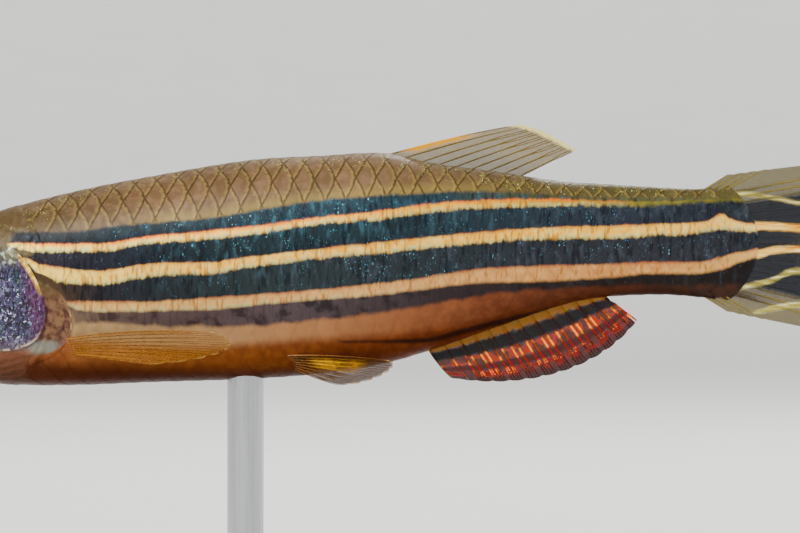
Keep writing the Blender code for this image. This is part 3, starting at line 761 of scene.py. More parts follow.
class Fin:
    """A fan of rays from root(s) to tip(s), s and v from 0 to 1."""

    def __init__(self, root, tip, bow, rays, sink, trim=0.012, joined=False, notch=0.035, thin_root=0.0):
        self.root, self.tip, self.bow, self.rays, self.sink = root, tip, bow, rays, sink
        self.trim, self.joined, self.notch, self.thin_root = trim, joined, notch, thin_root
        foot = 0.24 / rays
        self.places = foot + (1 - 2 * foot) * np.arange(rays) / (rays - 1)
        self.spacing = (1 - 2 * foot) / (rays - 1)

    def point(self, s, v):
        s, v = np.broadcast_arrays(np.asarray(s, float), np.asarray(v, float))
        root, tip = self.root(s), self.tip(s)
        root = root - unit(tip - root) * self.sink
        return root + (tip - root) * v[..., None] + self.bow(s) * (4 * v * (1 - v))[..., None]

    def normal(self, s, v, step=0.01):
        across = self.point(np.ones_like(s), v) - self.point(np.zeros_like(s), v)
        along = self.point(s, np.minimum(v + step, 1)) - self.point(s, np.maximum(v - step, 0))
        return unit(np.cross(across, along))

    def near_ray(self, s):
        """0 on a ray, 1 midway between two."""
        place = (s - self.places[0]) / self.spacing
        return np.abs(place - np.round(place)) * 2

    def margin(self, s):
        """How far out the membrane reaches: less between the rays than on them."""
        return 1 - self.trim - self.notch * np.clip(self.near_ray(s), 0, 1) ** 2


def fin_membrane(pile, fin, thickness=0.000016, per_ray=8, rows=34):
    columns = (fin.rays - 1) * per_ray + 3
    first = fin.places[0] * 0.4
    s = np.linspace(first, 1.0 if fin.joined else 1 - first, columns)[:, None] * np.ones((1, rows))
    v = np.linspace(0, 1, rows)[None, :] * fin.margin(s)
    sag = MEMBRANE_SAG * np.clip(fin.near_ray(s), 0, 1) * np.sin(9 * v + 5 * s) * (1 - v)
    normal = fin.normal(s, v)
    middle = fin.point(s, v) + normal * sag[..., None]
    points = np.concatenate([(middle + way * normal * thickness).reshape(-1, 3) for way in (1, -1)])
    count = columns * rows
    faces = grid_faces(columns, rows, flip=True) + grid_faces(columns, rows, start=count)
    faces += [[one, two, two + count, one + count] for one, two in grid_rim(columns, rows)]
    pile.add(points, faces, across=np.tile(s.ravel(), 2), along=np.tile(v.ravel(), 2), ray=0.0)


def fin_ray(pile, fin, start, spread, low, high, radius_low, radius_high, sides=6, flat=0.8):
    """One stretch of a ray from v low to high, moving across by spread, with joints along it."""
    steps = max(6, int(round((high - low) * 66)))
    v = np.linspace(low, min(high, float(fin.margin(start + spread)) + 0.003), steps)
    share = (v - low) / (high - low)
    s = start + spread * smooth_step(0, 0.9, share)
    path, normal = fin.point(s, v), fin.normal(s, v)
    aside = unit(np.cross(unit(np.gradient(path, axis=0)), normal))
    joints = 1 - 0.16 * ((np.arange(steps) % 3) == 0) * (v > 0.3)
    radius = (radius_low + (radius_high - radius_low) * share) * joints
    radius *= 1 - fin.thin_root * smooth_step(0.30, 0.0, v)
    radius[-1] *= 0.4
    points = tube_points(path, aside * flat, normal, radius, sides)
    across, along = np.repeat(s, sides), np.repeat(v, sides)
    pile.add(points, tube_faces(steps, sides), across=across, along=along, ray=1.0)


def build_fin(name, fin, thick=0.00009, branch=(0.42, 0.70), plain_rays=0, splits=2, flat=0.8):
    """Membrane and branched rays of a fin in one mesh; the first rays may stay unbranched."""
    pile = Pile("across", "along", "ray")
    fin_membrane(pile, fin)
    quarter = (0.19 if splits > 1 else 0.25) * fin.spacing
    for number, s in enumerate(fin.places):
        if number < plain_rays:
            fin_ray(pile, fin, s, 0.0, 0.0, 1.0, thick * 1.2, thick * 0.35)
            continue
        fork, second = branch
        fin_ray(pile, fin, s, 0.0, 0.0, fork, thick, thick * 0.72, flat=flat)
        for one in (-1, 1):
            middle = s + one * quarter
            if splits == 1:
                fin_ray(pile, fin, s, one * quarter, fork - 0.02, 1.0, thick * 0.62, thick * 0.25, flat=flat)
                continue
            fin_ray(pile, fin, s, one * quarter, fork - 0.02, second, thick * 0.62, thick * 0.45, flat=flat)
            for two in (-1, 1):
                sub = two * quarter * 0.5
                fin_ray(pile, fin, middle, sub, second - 0.02, 1.0, thick * 0.42, thick * 0.2, flat=flat)
    return pile.build(name)


def no_bow(s):
    return np.zeros(s.shape + (3,))


def median_fin(base, margin, edge, bow_height, rays):
    """Upright fin along the back for edge 0 and along the belly for edge 1."""
    outward = 1 if edge == 0 else -1
    controls = [side_point(*place) for place in margin]

    def root(s):
        share = base[0] + (base[1] - base[0]) * s
        z = section(share)[edge] - outward * COAT_DEPTH
        return np.stack([x_at(share), 0 * s, z], axis=-1)

    def bow(s):
        return np.stack([0 * s, 0 * s, outward * bow_height * (1 - s)], axis=-1)

    return Fin(root, lambda s: bezier(controls, s), bow, rays, 0.00025, 0.016, notch=0.022, thin_root=0.45)


def caudal_fin(up, leading_edge, trailing_edge):
    """Lobe of the tail fin: up is 1 for the upper lobe and -1 for the lower one."""
    edge = 0 if up > 0 else 1
    front = CAUDAL_FRONT
    start = np.array((x_at(front), 0.0, float(section(front)[edge]) - up * COAT_DEPTH))
    corner_share = 0.990
    corner = np.array((x_at(corner_share), 0.0, float(section(corner_share)[edge]) - up * 0.00030))
    middle_z = sum(float(value) for value in section(1.0)[:2]) / 2
    centre = np.array((x_at(corner_share), 0.0, middle_z))
    fork = side_point(*CAUDAL_FORK)
    lead = [side_point(*place) for place in leading_edge]
    trail = [side_point(*place) for place in trailing_edge] + [fork]

    def pieces(s, first, second):
        early = np.clip(s / CAUDAL_SHORT_PART, 0, 1)
        late = np.clip((s - CAUDAL_SHORT_PART) / (1 - CAUDAL_SHORT_PART), 0, 1)
        return np.where((s < CAUDAL_SHORT_PART)[..., None], first(early), second(late))

    def root(s):
        return pieces(s, lambda t: bezier([start, corner], t), lambda t: bezier([corner, centre], t))

    def tip(s):
        return pieces(s, lambda t: bezier(lead, t), lambda t: bezier(trail, t))

    return Fin(root, tip, no_bow, 14, 0.0004, 0.022, True, thin_root=0.65)


def paired_fin(side, ends, margin, bow_aside, bow_up, rays, **options):
    """A fin held out from the flank; bow_up is its bow's height at the first ray and at the last."""
    margin = [side_point(share, height, side * out) for share, height, out in margin]

    def bow(s):
        return np.stack([0 * s, side * bow_aside + 0 * s, bow_up[0] + (bow_up[1] - bow_up[0]) * s], axis=-1)

    return Fin(lambda s: bezier(ends, s), lambda s: bezier(margin, s), bow, rays, 0.0003, **options)


def pectoral_fin(side):
    ends = []
    for place in PECTORAL_ROOT:
        point = side_point(*place)
        point[1] = side * (float(flank(point[0], point[2])) - COAT_DEPTH)
        ends.append(point)
    return paired_fin(side, ends, PECTORAL_MARGIN, 0.0002, (0.0002, 0.0), 9, thin_root=0.6)


def pelvic_fin(side):
    ends = [body_point(share, -90 + side * angle) for share, angle in PELVIC_ROOT]
    return paired_fin(side, ends, PELVIC_MARGIN, 0.00015, (0.0001, -0.0001), 8)


# Gill covers and eyes

def closed_curve(points, t):
    """Points of the smooth closed curve through these points, at t from 0 to 1."""
    points = np.array(points, float)
    count = len(points)
    place = np.asarray(t) * count
    i = np.floor(place).astype(int)
    f = (place - i)[..., None]
    a, b, c, d = (points[(i + k) % count] for k in (-1, 0, 1, 2))
    return 0.5 * (2 * b + (c - a) * f + (2 * a - 5 * b + 4 * c - d) * f**2 + (3 * b - a - 3 * c + d) * f**3)


def gill_cover(side):
    """Thin bowed plate over the gills, its rear edge free and its front edge sunk in the cheek."""
    sides, rings = 96, 30
    outline = closed_curve(GILL_OUTLINE, np.arange(sides) / sides) - GILL_MIDDLE
    reach = np.linspace(0, 1, rings + 1)[1:, None]
    across, down = (GILL_MIDDLE[k] + reach * outline[None, :, k] for k in (0, 1))
    edge = reach + 0 * across
    x = x_at(share_of_pixel(across))
    z = z_at(height_of_pixel(down))
    rear = smooth_step(-8.0, 24.0, across)
    fan = np.arctan2(down - 262.0, across + 26.0)
    front_edge = smooth_step(6.0, -6.0, across) * smooth_step(0.45, 0.85, edge)
    lift = 0.00010 * rear + 0.00003 * (1 - edge**2) - 0.00026 * front_edge
    lift += 0.0000045 * np.sin(46 * fan) * smooth_step(0.25, 0.7, edge)
    lift += 0.0000040 * np.sin(30 * edge) * smooth_step(0.35, 0.8, edge) - 0.000010 * bump(edge - 0.94, 0.02)
    outer = np.stack([x, side * (flank(x, z) + lift), z], axis=-1)
    inner = np.stack([x, side * (flank(x, z) + lift - 0.00008), z], axis=-1)
    middle_x, middle_z = x_at(share_of_pixel(GILL_MIDDLE[0])), z_at(height_of_pixel(GILL_MIDDLE[1]))
    middle_y = float(flank(middle_x, middle_z))
    middles = [[middle_x, side * (middle_y + value), middle_z] for value in (0.00011, 0.00003)]
    count = rings * sides
    faces = grid_faces(rings, sides, closed=True)
    faces += grid_faces(rings, sides, start=count, closed=True, flip=True)
    for k in range(sides):
        after = (k + 1) % sides
        faces += [[2 * count, after, k], [2 * count + 1, count + k, count + after]]
        one, two = (rings - 1) * sides + k, (rings - 1) * sides + after
        faces.append([one, two, two + count, one + count])
    if side < 0:
        faces = [face[::-1] for face in faces]
    points = np.concatenate([outer.reshape(-1, 3), inner.reshape(-1, 3), middles])
    up = np.append(np.tile((-outline[None, :, 1] * reach / 55.0).ravel(), 2), (0.0, 0.0))
    back = np.append(np.tile((outline[None, :, 0] * reach / 35.0).ravel(), 2), (0.0, 0.0))
    edges = np.append(np.tile(edge.ravel(), 2), (0.0, 0.0))
    pile = Pile("edge", "up", "back")
    pile.add(points, faces, edge=edges, up=up, back=back)
    return pile.build("gill_cover_skin_" + SIDE_NAMES[side])


def eyeball(side):
    """Flattened ball with attributes for the distance from its middle and the way round it."""
    rings, sides = 60, 72
    polar = np.linspace(0, math.pi, rings)[1:-1]
    turn = np.linspace(0, 2 * math.pi, sides, endpoint=False)
    radius = np.sin(polar)[:, None]
    out = np.cos(polar)[:, None]
    bulge = 1 + 0.10 * bump(radius, 0.35) * (out > 0)
    local = np.stack([
        radius * np.cos(turn)[None, :] * EYE_RADIUS * 0.985,
        side * out * bulge * EYE_DEPTH * np.ones((1, sides)) * 0.97,
        radius * np.sin(turn)[None, :] * EYE_RADIUS * 0.985,
    ], axis=-1)
    front = np.array([[0.0, side * EYE_DEPTH * 1.10 * 0.97, 0.0]])
    back = np.array([[0.0, -side * EYE_DEPTH * 0.97, 0.0]])
    points = np.concatenate([front, local.reshape(-1, 3), back])
    faces = grid_faces(len(polar), sides, start=1, closed=True, flip=side < 0)
    last = len(points) - 1
    for k in range(sides):
        near, after = 1 + k, 1 + (k + 1) % sides
        far = last - sides
        ends = [[0, after, near], [last, far + k, far + (k + 1) % sides]]
        faces += ends if side > 0 else [face[::-1] for face in ends]
    reach = np.concatenate([[0.0], np.repeat(np.where(out > 0, radius, 2 - radius).ravel(), sides), [2.0]])
    level = np.concatenate([[0.0], (radius * np.sin(turn)[None, :]).ravel(), [0.0]])
    round_about = np.concatenate([[0.0], np.tile(turn, len(polar)), [0.0]])
    matrix = np.array(eye_matrix(side))
    world = points @ matrix[:3, :3].T + matrix[:3, 3]
    pile = Pile("reach", "level", "turn_cos", "turn_sin")
    turn_cos, turn_sin = np.cos(round_about), np.sin(round_about)
    pile.add(world, faces, reach=reach, level=level, turn_cos=turn_cos, turn_sin=turn_sin)
    return pile.build("eyeball_" + SIDE_NAMES[side])


# Colours

def tone(red, green, blue):
    """Linear colour with alpha of a screen colour given from 0 to 255."""
    def linear(value):
        value /= 255
        return value / 12.92 if value <= 0.04045 else ((value + 0.055) / 1.055) ** 2.4
    return (linear(red), linear(green), linear(blue), 1.0)


def paint(red, green, blue, depth=1.18, richness=1.30):
    """A screen colour of the fish made deeper and richer, as the soft light and the gloss wash it out."""
    colour = np.array(tone(red, green, blue)[:3])
    grey = colour @ (0.2126, 0.7152, 0.0722)
    colour = np.maximum(grey + (colour - grey) * richness, 0.0005) ** depth
    return (*map(float, colour), 1.0)


def warm(red, green, blue):
    """A brown or orange of the fish, only a little deeper than on the screen."""
    return paint(red, green, blue, 1.22, 1.05)


def cool(red, green, blue):
    """A dark of the stripes, deeper than on the screen."""
    return paint(red, green, blue, 1.20, 1.08)


# Node trees

class Value:
    """A number or colour in a node tree; the signs of arithmetic add its Math nodes."""

    def __init__(self, nodes, socket):
        self.nodes, self.socket = nodes, socket

    def __add__(self, other):
        return self.nodes.math("ADD", self, other)

    def __sub__(self, other):
        return self.nodes.math("SUBTRACT", self, other)

    def __rsub__(self, other):
        return self.nodes.math("SUBTRACT", other, self)

    def __mul__(self, other):
        return self.nodes.math("MULTIPLY", self, other)

    def __truediv__(self, other):
        return self.nodes.math("DIVIDE", self, other)

    def __abs__(self):
        return self.nodes.math("ABSOLUTE", self)

    __radd__ = __add__
    __rmul__ = __mul__


class Nodes:
    """A material and short calls for building its node tree."""

    def __init__(self, name):
        self.material = bpy.data.materials.new(name)
        self.material.use_nodes = True
        self.tree = self.material.node_tree

    def link(self, value, socket):
        if isinstance(value, Value):
            self.tree.links.new(value.socket, socket)
        else:
            socket.default_value = value

    def add(self, kind, inputs=(), **settings):
        """A new node with its settings and inputs."""
        node = self.tree.nodes.new("ShaderNode" + kind)
        for key, value in settings.items():
            setattr(node, key, value)
        for key, value in dict(inputs).items():
            self.link(value, node.inputs[key])
        return node

    def take(self, kind, inputs=(), output=0, **settings):
        """One output of a new node."""
        return Value(self, self.add(kind, inputs, **settings).outputs[output])

    def parts(self, kind, inputs):
        """All outputs of a new node."""
        return [Value(self, output) for output in self.add(kind, inputs).outputs]

    def math(self, operation, *values):
        return self.take("Math", dict(enumerate(values)), operation=operation)

    def attribute(self, name):
        return self.take("Attribute", output="Fac", attribute_name=name)

    def place(self, scales):
        """The object's own place times one scale, or times three of them."""
        scales = scales if isinstance(scales, tuple) else (scales,) * 3
        return self.take("Mapping", {"Vector": self.take("TexCoord", output="Object"), "Scale": scales})

    def noise(self, place, detail=2.0, roughness=0.5, output=0):
        """Noise at a place given as a value or as its scales."""
        place = place if isinstance(place, Value) else self.place(place)
        sizes = {"Vector": place, "Scale": 1.0, "Detail": detail, "Roughness": roughness}
        return self.take("TexNoise", sizes, output)

    def spread(self, scales, amount):
        """Noise between minus and plus half the amount."""
        return (self.noise(scales, 3.0) - 0.5) * amount

    def sparks(self, place, kept, radius):
        """Mask of small round glints in a share of the cells, and a value that differs from cell to cell."""
        place = place if isinstance(place, Value) else self.place(place)
        distance, colour = self.parts("TexVoronoi", {"Vector": place, "Scale": 1.0})[:2]
        one, two, three = self.parts("SeparateColor", {"Color": colour})
        size = two * (radius * 0.7) + radius * 0.4
        return self.math("GREATER_THAN", one, 1 - kept) * smooth(size, size * 0.45, distance), three

    def pixel_place(self):
        """Place of a point in the photograph's pixels, seen from the side."""
        x, _, z = self.parts("SeparateXYZ", {"Vector": self.take("TexCoord", output="Object")})
        return (x - SNOUT_X) / PIXEL + SNOUT_PIXEL, (LINE_HEIGHT - z) / PIXEL + LINE_PIXEL

    def bump(self, height, strength, distance):
        return self.take("Bump", {"Height": height, "Strength": strength, "Distance": distance})

    def finish(self, **inputs):
        shader = self.tree.nodes["Principled BSDF"]
        for key, value in inputs.items():
            self.link(value, shader.inputs[key.replace("_", " ")])
        return self.material


def straight(low, high, value):
    """0 to 1 from low to high."""
    return value.nodes.take("MapRange", {"Value": value, "From Min": low, "From Max": high})


def smooth(low, high, value):
    """0 to 1 from low to high, softly; it falls where low is the larger one."""
    sizes = {"Value": value, "From Min": low, "From Max": high}
    return value.nodes.take("MapRange", sizes, interpolation_type="SMOOTHSTEP")


def window(start, full, fading, end, value):
    """1 from full to fading, and softly down to 0 at start and end."""
    return smooth(start, full, value) * smooth(end, fading, value)


def mix(mask, one, two):
    """Colour one where the mask is 0 and two where it is 1."""
    return mask.nodes.take("Mix", {0: mask, 6: one, 7: two}, 2, data_type="RGBA")


def ramp(value, painter, *stops):
    """Colour that changes with a value, from stops of its place and its red, green and blue."""
    node = value.nodes.add("ValToRGB", {"Fac": value})
    elements = node.color_ramp.elements
    while len(elements) < len(stops):
        elements.new(0.5)
    for element, (place, *colour) in zip(elements, stops):
        element.position = place
        element.color = painter(*colour)
    return Value(value.nodes, node.outputs[0])


def along_fish(across, painter, *stops):
    """Colour that changes along the fish, from stops of a place in pixels and its red, green and blue."""
    low, high = ACROSS
    stops = [((place - low) / (high - low), *colour) for place, *colour in stops]
    return ramp(straight(low, high, across), painter, *stops)


def curve(value, points, inner=ACROSS, outer=DOWN):
    """Curve through points in pixels, whose first numbers lie in the range inner and second in outer."""
    spans = inner[1] - inner[0], outer[1] - outer[0]
    places = [((a - inner[0]) / spans[0], (b - outer[0]) / spans[1]) for a, b in points]
    places = [(0.0, places[0][1])] + places + [(1.0, places[-1][1])]
    node = value.nodes.add("FloatCurve", {"Value": straight(*inner, value)})
    line = node.mapping.curves[0]
    while len(line.points) < len(places):
        line.points.new(0.5, 0.5)
    for point, place in zip(line.points, places):
        point.location = place
        point.handle_type = "AUTO_CLAMPED"
    node.mapping.update()
    return Value(value.nodes, node.outputs[0]) * spans[1] + outer[0]


def streak(across, down, points, soft, ragged=0.0):
    """Mask of a streak through points given as place, middle and half width in pixels."""
    middle = curve(across, [point[:2] for point in points])
    half = curve(across, [(point[0], point[2]) for point in points], outer=(0, 20))
    first, last = points[0][0], points[-1][0]
    inside = smooth(soft, -soft, abs(down - middle) - half + ragged)
    return inside * window(first - 4, first + 6, last - 40, last + 10, across)


def oval(across, down, middle, half_size):
    """Distance from the middle of an oval in pixels: 1 on its edge."""
    a, b = (across - middle[0]) / half_size[0], (down - middle[1]) / half_size[1]
    return across.nodes.math("SQRT", a * a + b * b)


# Markings

def gold_edge(stripe, way):
    """Lower edge of a gold stripe for way 1 and its upper edge for way -1, in pixels."""
    return [(x, middle + way * (half - EDGE_TRIM)) for x, middle, half in stripe]


def belly_and_tan(nodes, across, down, waves, patchy):
    """Colours of the belly, with painted shade along its underside, and of the tan band above it."""
    belly = along_fish(across, warm, (20, 118, 66, 40), (80, 146, 92, 48), (230, 130, 76, 34),
                       (400, 114, 60, 27), (520, 104, 52, 22), (620, 68, 38, 20), (740, 44, 34, 26))
    bright_belly = along_fish(across, warm, (60, 170, 118, 70), (260, 150, 98, 48), (450, 142, 78, 34),
                              (650, 84, 48, 26))
    belly = mix(patchy * 0.6, belly, bright_belly)
    # Painted shade: the belly darkens below this line, towards its underside.
    low = curve(across, BELLY_SHADE_LINE) - down + waves
    painted_belly_shade = along_fish(across, warm, (60, 96, 52, 26), (400, 88, 42, 18), (600, 42, 26, 16))
    belly = mix(smooth(2, -16, low), belly, painted_belly_shade)
    tan = along_fish(across, warm, (75, 156, 130, 94), (140, 170, 144, 108), (300, 168, 124, 86),
                     (420, 140, 90, 58), (500, 112, 62, 34), (620, 82, 45, 25), (700, 50, 36, 26))
    bright_tan = along_fish(across, warm, (100, 196, 168, 128), (400, 164, 108, 72), (640, 96, 54, 30))
    return belly, mix(patchy * 0.5, tan, bright_tan)


def dark_colours(nodes, across):
    """Colours of the four dark stripes, the lowest one first."""
    lowest = along_fish(across, cool, (75, 112, 94, 80), (150, 96, 80, 78), (300, 88, 76, 78),
                        (450, 58, 46, 48), (600, 42, 30, 24), (740, 34, 28, 26))
    blotches = smooth(0.46, 0.66, nodes.noise((1500, 900, 1900)))
    deep = along_fish(across, cool, (75, 72, 52, 50), (300, 46, 34, 40), (600, 30, 22, 20))
    middle = along_fish(across, cool, (62, 78, 62, 50), (110, 48, 48, 54), (250, 54, 64, 66),
                        (400, 56, 64, 68), (550, 56, 60, 66), (700, 58, 60, 66), (800, 52, 54, 60))
    upper = along_fish(across, cool, (40, 54, 50, 58), (130, 42, 46, 56), (230, 40, 54, 58),
                       (340, 42, 60, 66), (480, 50, 64, 72), (600, 54, 62, 72), (700, 52, 58, 66),
                       (780, 60, 62, 62))
    top = along_fish(across, cool, (20, 26, 30, 34), (130, 28, 42, 48), (330, 40, 60, 70),
                     (440, 50, 70, 78), (540, 84, 88, 62), (740, 106, 102, 66))
    return mix(blotches * 0.85, lowest, deep), middle, upper, top


def gold_colours(across, patchy):
    """Colours of the three gold stripes, the lowest one first."""
    low = along_fish(across, warm, (75, 190, 158, 104), (140, 220, 182, 118), (300, 214, 170, 112),
                     (500, 204, 154, 100), (650, 206, 150, 94), (760, 222, 180, 112))
    middle = along_fish(across, paint, (30, 240, 212, 132), (80, 240, 210, 136), (200, 240, 196, 122),
                        (350, 240, 190, 110), (600, 246, 196, 108), (760, 250, 212, 140))
    upper = along_fish(across, paint, (14, 236, 214, 140), (200, 246, 206, 130), (430, 236, 190, 110),
                       (560, 186, 152, 84), (640, 130, 122, 72), (740, 132, 126, 76))
    low = mix(patchy * 0.6, low, warm(230, 188, 126))
    middle = mix(patchy, middle, paint(250, 224, 158))
    return low, middle, mix(patchy * smooth(560, 640, across) * 0.8, upper, paint(84, 88, 60))


def back_colour(across, down, patchy):
    """Colour of the back, with a paler strip over the uppermost dark stripe and a shade behind the head."""
    back = along_fish(across, warm, (0, 100, 84, 54), (150, 116, 92, 66), (400, 116, 94, 68),
                      (560, 96, 86, 54), (740, 102, 94, 56))
    pale = along_fish(across, warm, (100, 148, 120, 94), (440, 138, 112, 86), (600, 84, 78, 46))
    back = mix(patchy * 0.7, back, pale)
    over_dark = curve(across, UPPER_DARK_TOP) - down
    strip = smooth(14, 2, over_dark) * window(110, 180, 400, 560, across) * 0.45
    back = mix(strip, back, paint(156, 142, 92))
    shaded = smooth(26, 4, over_dark) * smooth(150, 90, across) * 0.55
    return mix(shaded, back, warm(92, 78, 50))


def flank_markings(nodes, across, down):
    """Colour of the body: back, stripes and belly, and masks of the dark and the gold stripes."""
    teeth = nodes.spread((5600, 1500, 2500), 6.0) + nodes.spread((1700, 900, 900), 3.5)
    waves = nodes.spread((1900, 900, 900), 3.2) + nodes.spread((7000, 3000, 3000), 1.6)
    lobes = waves + nodes.spread((1200, 700, 700), 8.0)
    patchy = smooth(0.35, 0.75, nodes.noise(2600, 4.0))
    uprights = nodes.noise((7000, 600, 1300), 3.0)
    spans = smooth(0.36, 0.64, nodes.noise((900, 500, 900), 3.0))
    uneven = (smooth(0.30, 0.60, uprights) * 0.45 + 0.25) * (spans * 0.75 + 0.25)

    colour, tan = belly_and_tan(nodes, across, down, waves, patchy)
    lower_dark, middle_dark, upper_dark, top_dark = dark_colours(nodes, across)
    low_gold, middle_gold, faint_gold = gold_colours(across, patchy)
    lines = (
        ("tan", TAN_BOTTOM, waves, 6.0, tan),
        ("lowest", LOWER_DARK_BOTTOM, lobes, 3.0, lower_dark),
        ("low gold", gold_edge(GOLD_LOWER, 1), waves, 2.4, low_gold),
        ("dark", gold_edge(GOLD_LOWER, -1), waves, 1.7, middle_dark),
        ("gold", gold_edge(GOLD_MIDDLE, 1), teeth, 2.6, middle_gold),
        ("dark", gold_edge(GOLD_MIDDLE, -1), waves, 1.3, upper_dark),
        ("faint gold", gold_edge(GOLD_UPPER, 1), teeth, 2.6, faint_gold),
        ("top dark", gold_edge(GOLD_UPPER, -1), waves, 1.3, top_dark),
        ("back", UPPER_DARK_TOP, waves, 2.6, back_colour(across, down, patchy)),
    )
    dark_mask = gold_mask = 0.0
    for kind, points, roughness, soft, next_colour in lines:
        distance = curve(across, points) - down + roughness
        over = smooth(-soft, soft, distance)
        colour = mix(over, colour, next_colour)
        is_dark, is_gold = "dark" in kind, "gold" in kind
        if is_dark:
            rust = smooth(2.9, 0.2, abs(distance + 0.6)) * uneven
            if kind == "top dark":
                colour = mix(rust * smooth(650, 560, across), colour, paint(222, 122, 72))
            else:
                colour = mix(rust * 0.75, colour, warm(178, 86, 66))
        if is_gold:
            glow = smooth(3.4, 0.3, abs(distance - 1.2)) * smooth(0.35, 0.65, uprights) * 0.70
            if kind == "low gold":
                glow = glow * smooth(480, 300, across) * 0.6
            if kind == "faint gold":
                glow = glow * smooth(660, 540, across)
            colour = mix(glow, colour, paint(190, 204, 166))
        rest = 1.0 - over
        dark_mask = dark_mask * rest + over * (1.0 if is_dark else 0.35 if kind == "lowest" else 0.0)
        gold_mask = gold_mask * rest + over * (1.0 if is_gold else 0.0)
    return broken_up(nodes, across, down, colour, uprights, dark_mask, gold_mask), dark_mask, gold_mask


def broken_up(nodes, across, down, colour, uprights, dark, gold):
    """The stripes' colour with fine upright lines, lit places and the streak under the belly."""
    olive = smooth(540, 620, across) * smooth(216, 209, down)
    lines_in_gold = smooth(0.46, 0.36, uprights) * gold * (1.0 - olive) * 0.6
    colour = mix(lines_in_gold, colour, paint(160, 108, 64))
    colour = mix(smooth(0.50, 0.36, uprights) * dark * 0.65, colour, paint(20, 26, 34))
    lit = smooth(0.48, 0.72, nodes.noise((3600, 700, 1500), 4.0)) * dark
    lit = lit * smooth(80, 260, across) * smooth(310, 270, down)
    slate = smooth(640, 360, smooth(222, 250, down) * 240.0 + across)
    colour = mix(lit * 0.62, colour, mix(slate, cool(84, 88, 98), cool(72, 108, 118)))
    return mix(streak(across, down, LOWEST_DARK, 2.0) * 0.85, colour, paint(30, 18, 14))


def silver_plates(nodes, across, down):
    """Broken silver, blue and violet of the cheek and gill cover with painted white and teal glints, and the
    relief of its glints.
    """
    clouds = nodes.noise(1500, 5.0, 0.6)
    fine = nodes.noise((9000, 9000, 4500), 4.0)
    colour = ramp(clouds, paint, (0.32, 44, 62, 70), (0.45, 84, 84, 108), (0.53, 62, 46, 78),
                  (0.60, 104, 98, 124), (0.70, 146, 148, 158))
    colour = mix(smooth(0.46, 0.58, fine), colour, paint(26, 26, 40))
    magenta = smooth(24, 42, across + 46.0 - down * 0.15) * 0.85
    colour = mix(magenta, colour, mix(smooth(0.4, 0.6, fine), paint(96, 52, 86), paint(58, 28, 54)))
    # Painted glints: white flecks and teal specks, strongest in a cluster low on the gill cover.
    bend = {0: nodes.noise(7000, output="Color"), 1: (2.6, 2.6, 2.6), 2: nodes.place((7600, 7600, 5200))}
    glint_flecks, one = nodes.sparks(nodes.take("VectorMath", bend, operation="MULTIPLY_ADD"), 0.46, 0.56)
    glint_specks, two = nodes.sparks((15000, 15000, 11000), 0.34, 0.5)
    clump = smooth(0.42, 0.58, nodes.noise((2300, 2300, 2000), 3.0))
    bright = smooth(1.25, 0.55, oval(across, down, (6, 314), (34, 42))) * 0.85 + 0.15
    bright = bright * (clump * 0.85 + 0.15)
    white = ramp(one, paint, (0.0, 104, 138, 160), (0.35, 188, 194, 216), (0.8, 250, 252, 255))
    colour = mix(glint_flecks * bright, colour, white)
    glint = ramp(two, paint, (0.0, 90, 170, 160), (1.0, 206, 212, 236))
    return mix(glint_specks * bright * 0.8, colour, glint), fine + glint_flecks * 0.5


def head_colour(nodes, across, down):
    """Colour of the head: olive crown, silvery cheeks with a dark band behind the eye, warm throat."""
    mottle = nodes.noise(3800, 4.0)
    shade = (mottle - 0.5) * 14.0
    drop = curve(across, ((-133, 24), (-110, 14), (-60, 4), (0, 0), (60, 0)), outer=(0, 100))
    level = straight(190.0, 390.0, down + shade - drop)
    crown = ramp(level, warm, (0.00, 84, 70, 44), (0.15, 104, 86, 56), (0.28, 104, 90, 60),
                 (0.38, 96, 86, 62), (0.45, 118, 112, 104))
    cheek = ramp(level, paint, (0.55, 164, 158, 160), (0.66, 178, 164, 156))
    throat = ramp(level, warm, (0.74, 168, 138, 118), (0.82, 124, 84, 62), (1.00, 84, 52, 36))
    colour = mix(straight(0.45, 0.55, level), crown, cheek)
    colour = mix(straight(0.66, 0.74, level), colour, throat)

    silver = window(266, 282, 336, 352, down) * smooth(-96, -70, across)
    violet = mix(smooth(0.35, 0.65, mottle), paint(120, 118, 136), paint(176, 170, 178))
    colour = mix(silver * (smooth(-30, 10, across) * 0.35 + 0.45), colour, violet)
    plates, _ = silver_plates(nodes, across, down)
    plated = smooth(-74, -24, across + shade * 2.5) * window(254, 270, 336, 352, down)
    colour = mix(plated, colour, plates)
    glints, tint = nodes.sparks((8000, 8000, 5200), 0.34, 0.5)
    colour = mix(glints * silver * 0.8, colour, ramp(tint, paint, (0.0, 150, 176, 180), (1.0, 244, 246, 250)))
    band = smooth(13, 5, abs(down - (across * 0.20 + 274.0))) * window(-30, -18, -6, 14, across) * 0.7
    colour = mix(band, colour, paint(36, 44, 62))
    colour = flap_colour(nodes, across, down, colour, mottle)
    freckles = nodes.take("TexVoronoi", {"Vector": nodes.place(9000), "Scale": 1.0}, "Distance")
    freckle = smooth(0.30, 0.16, freckles) * (smooth(258, 244, down) * 0.40 + 0.10)
    return mix(freckle, colour, paint(48, 38, 26))


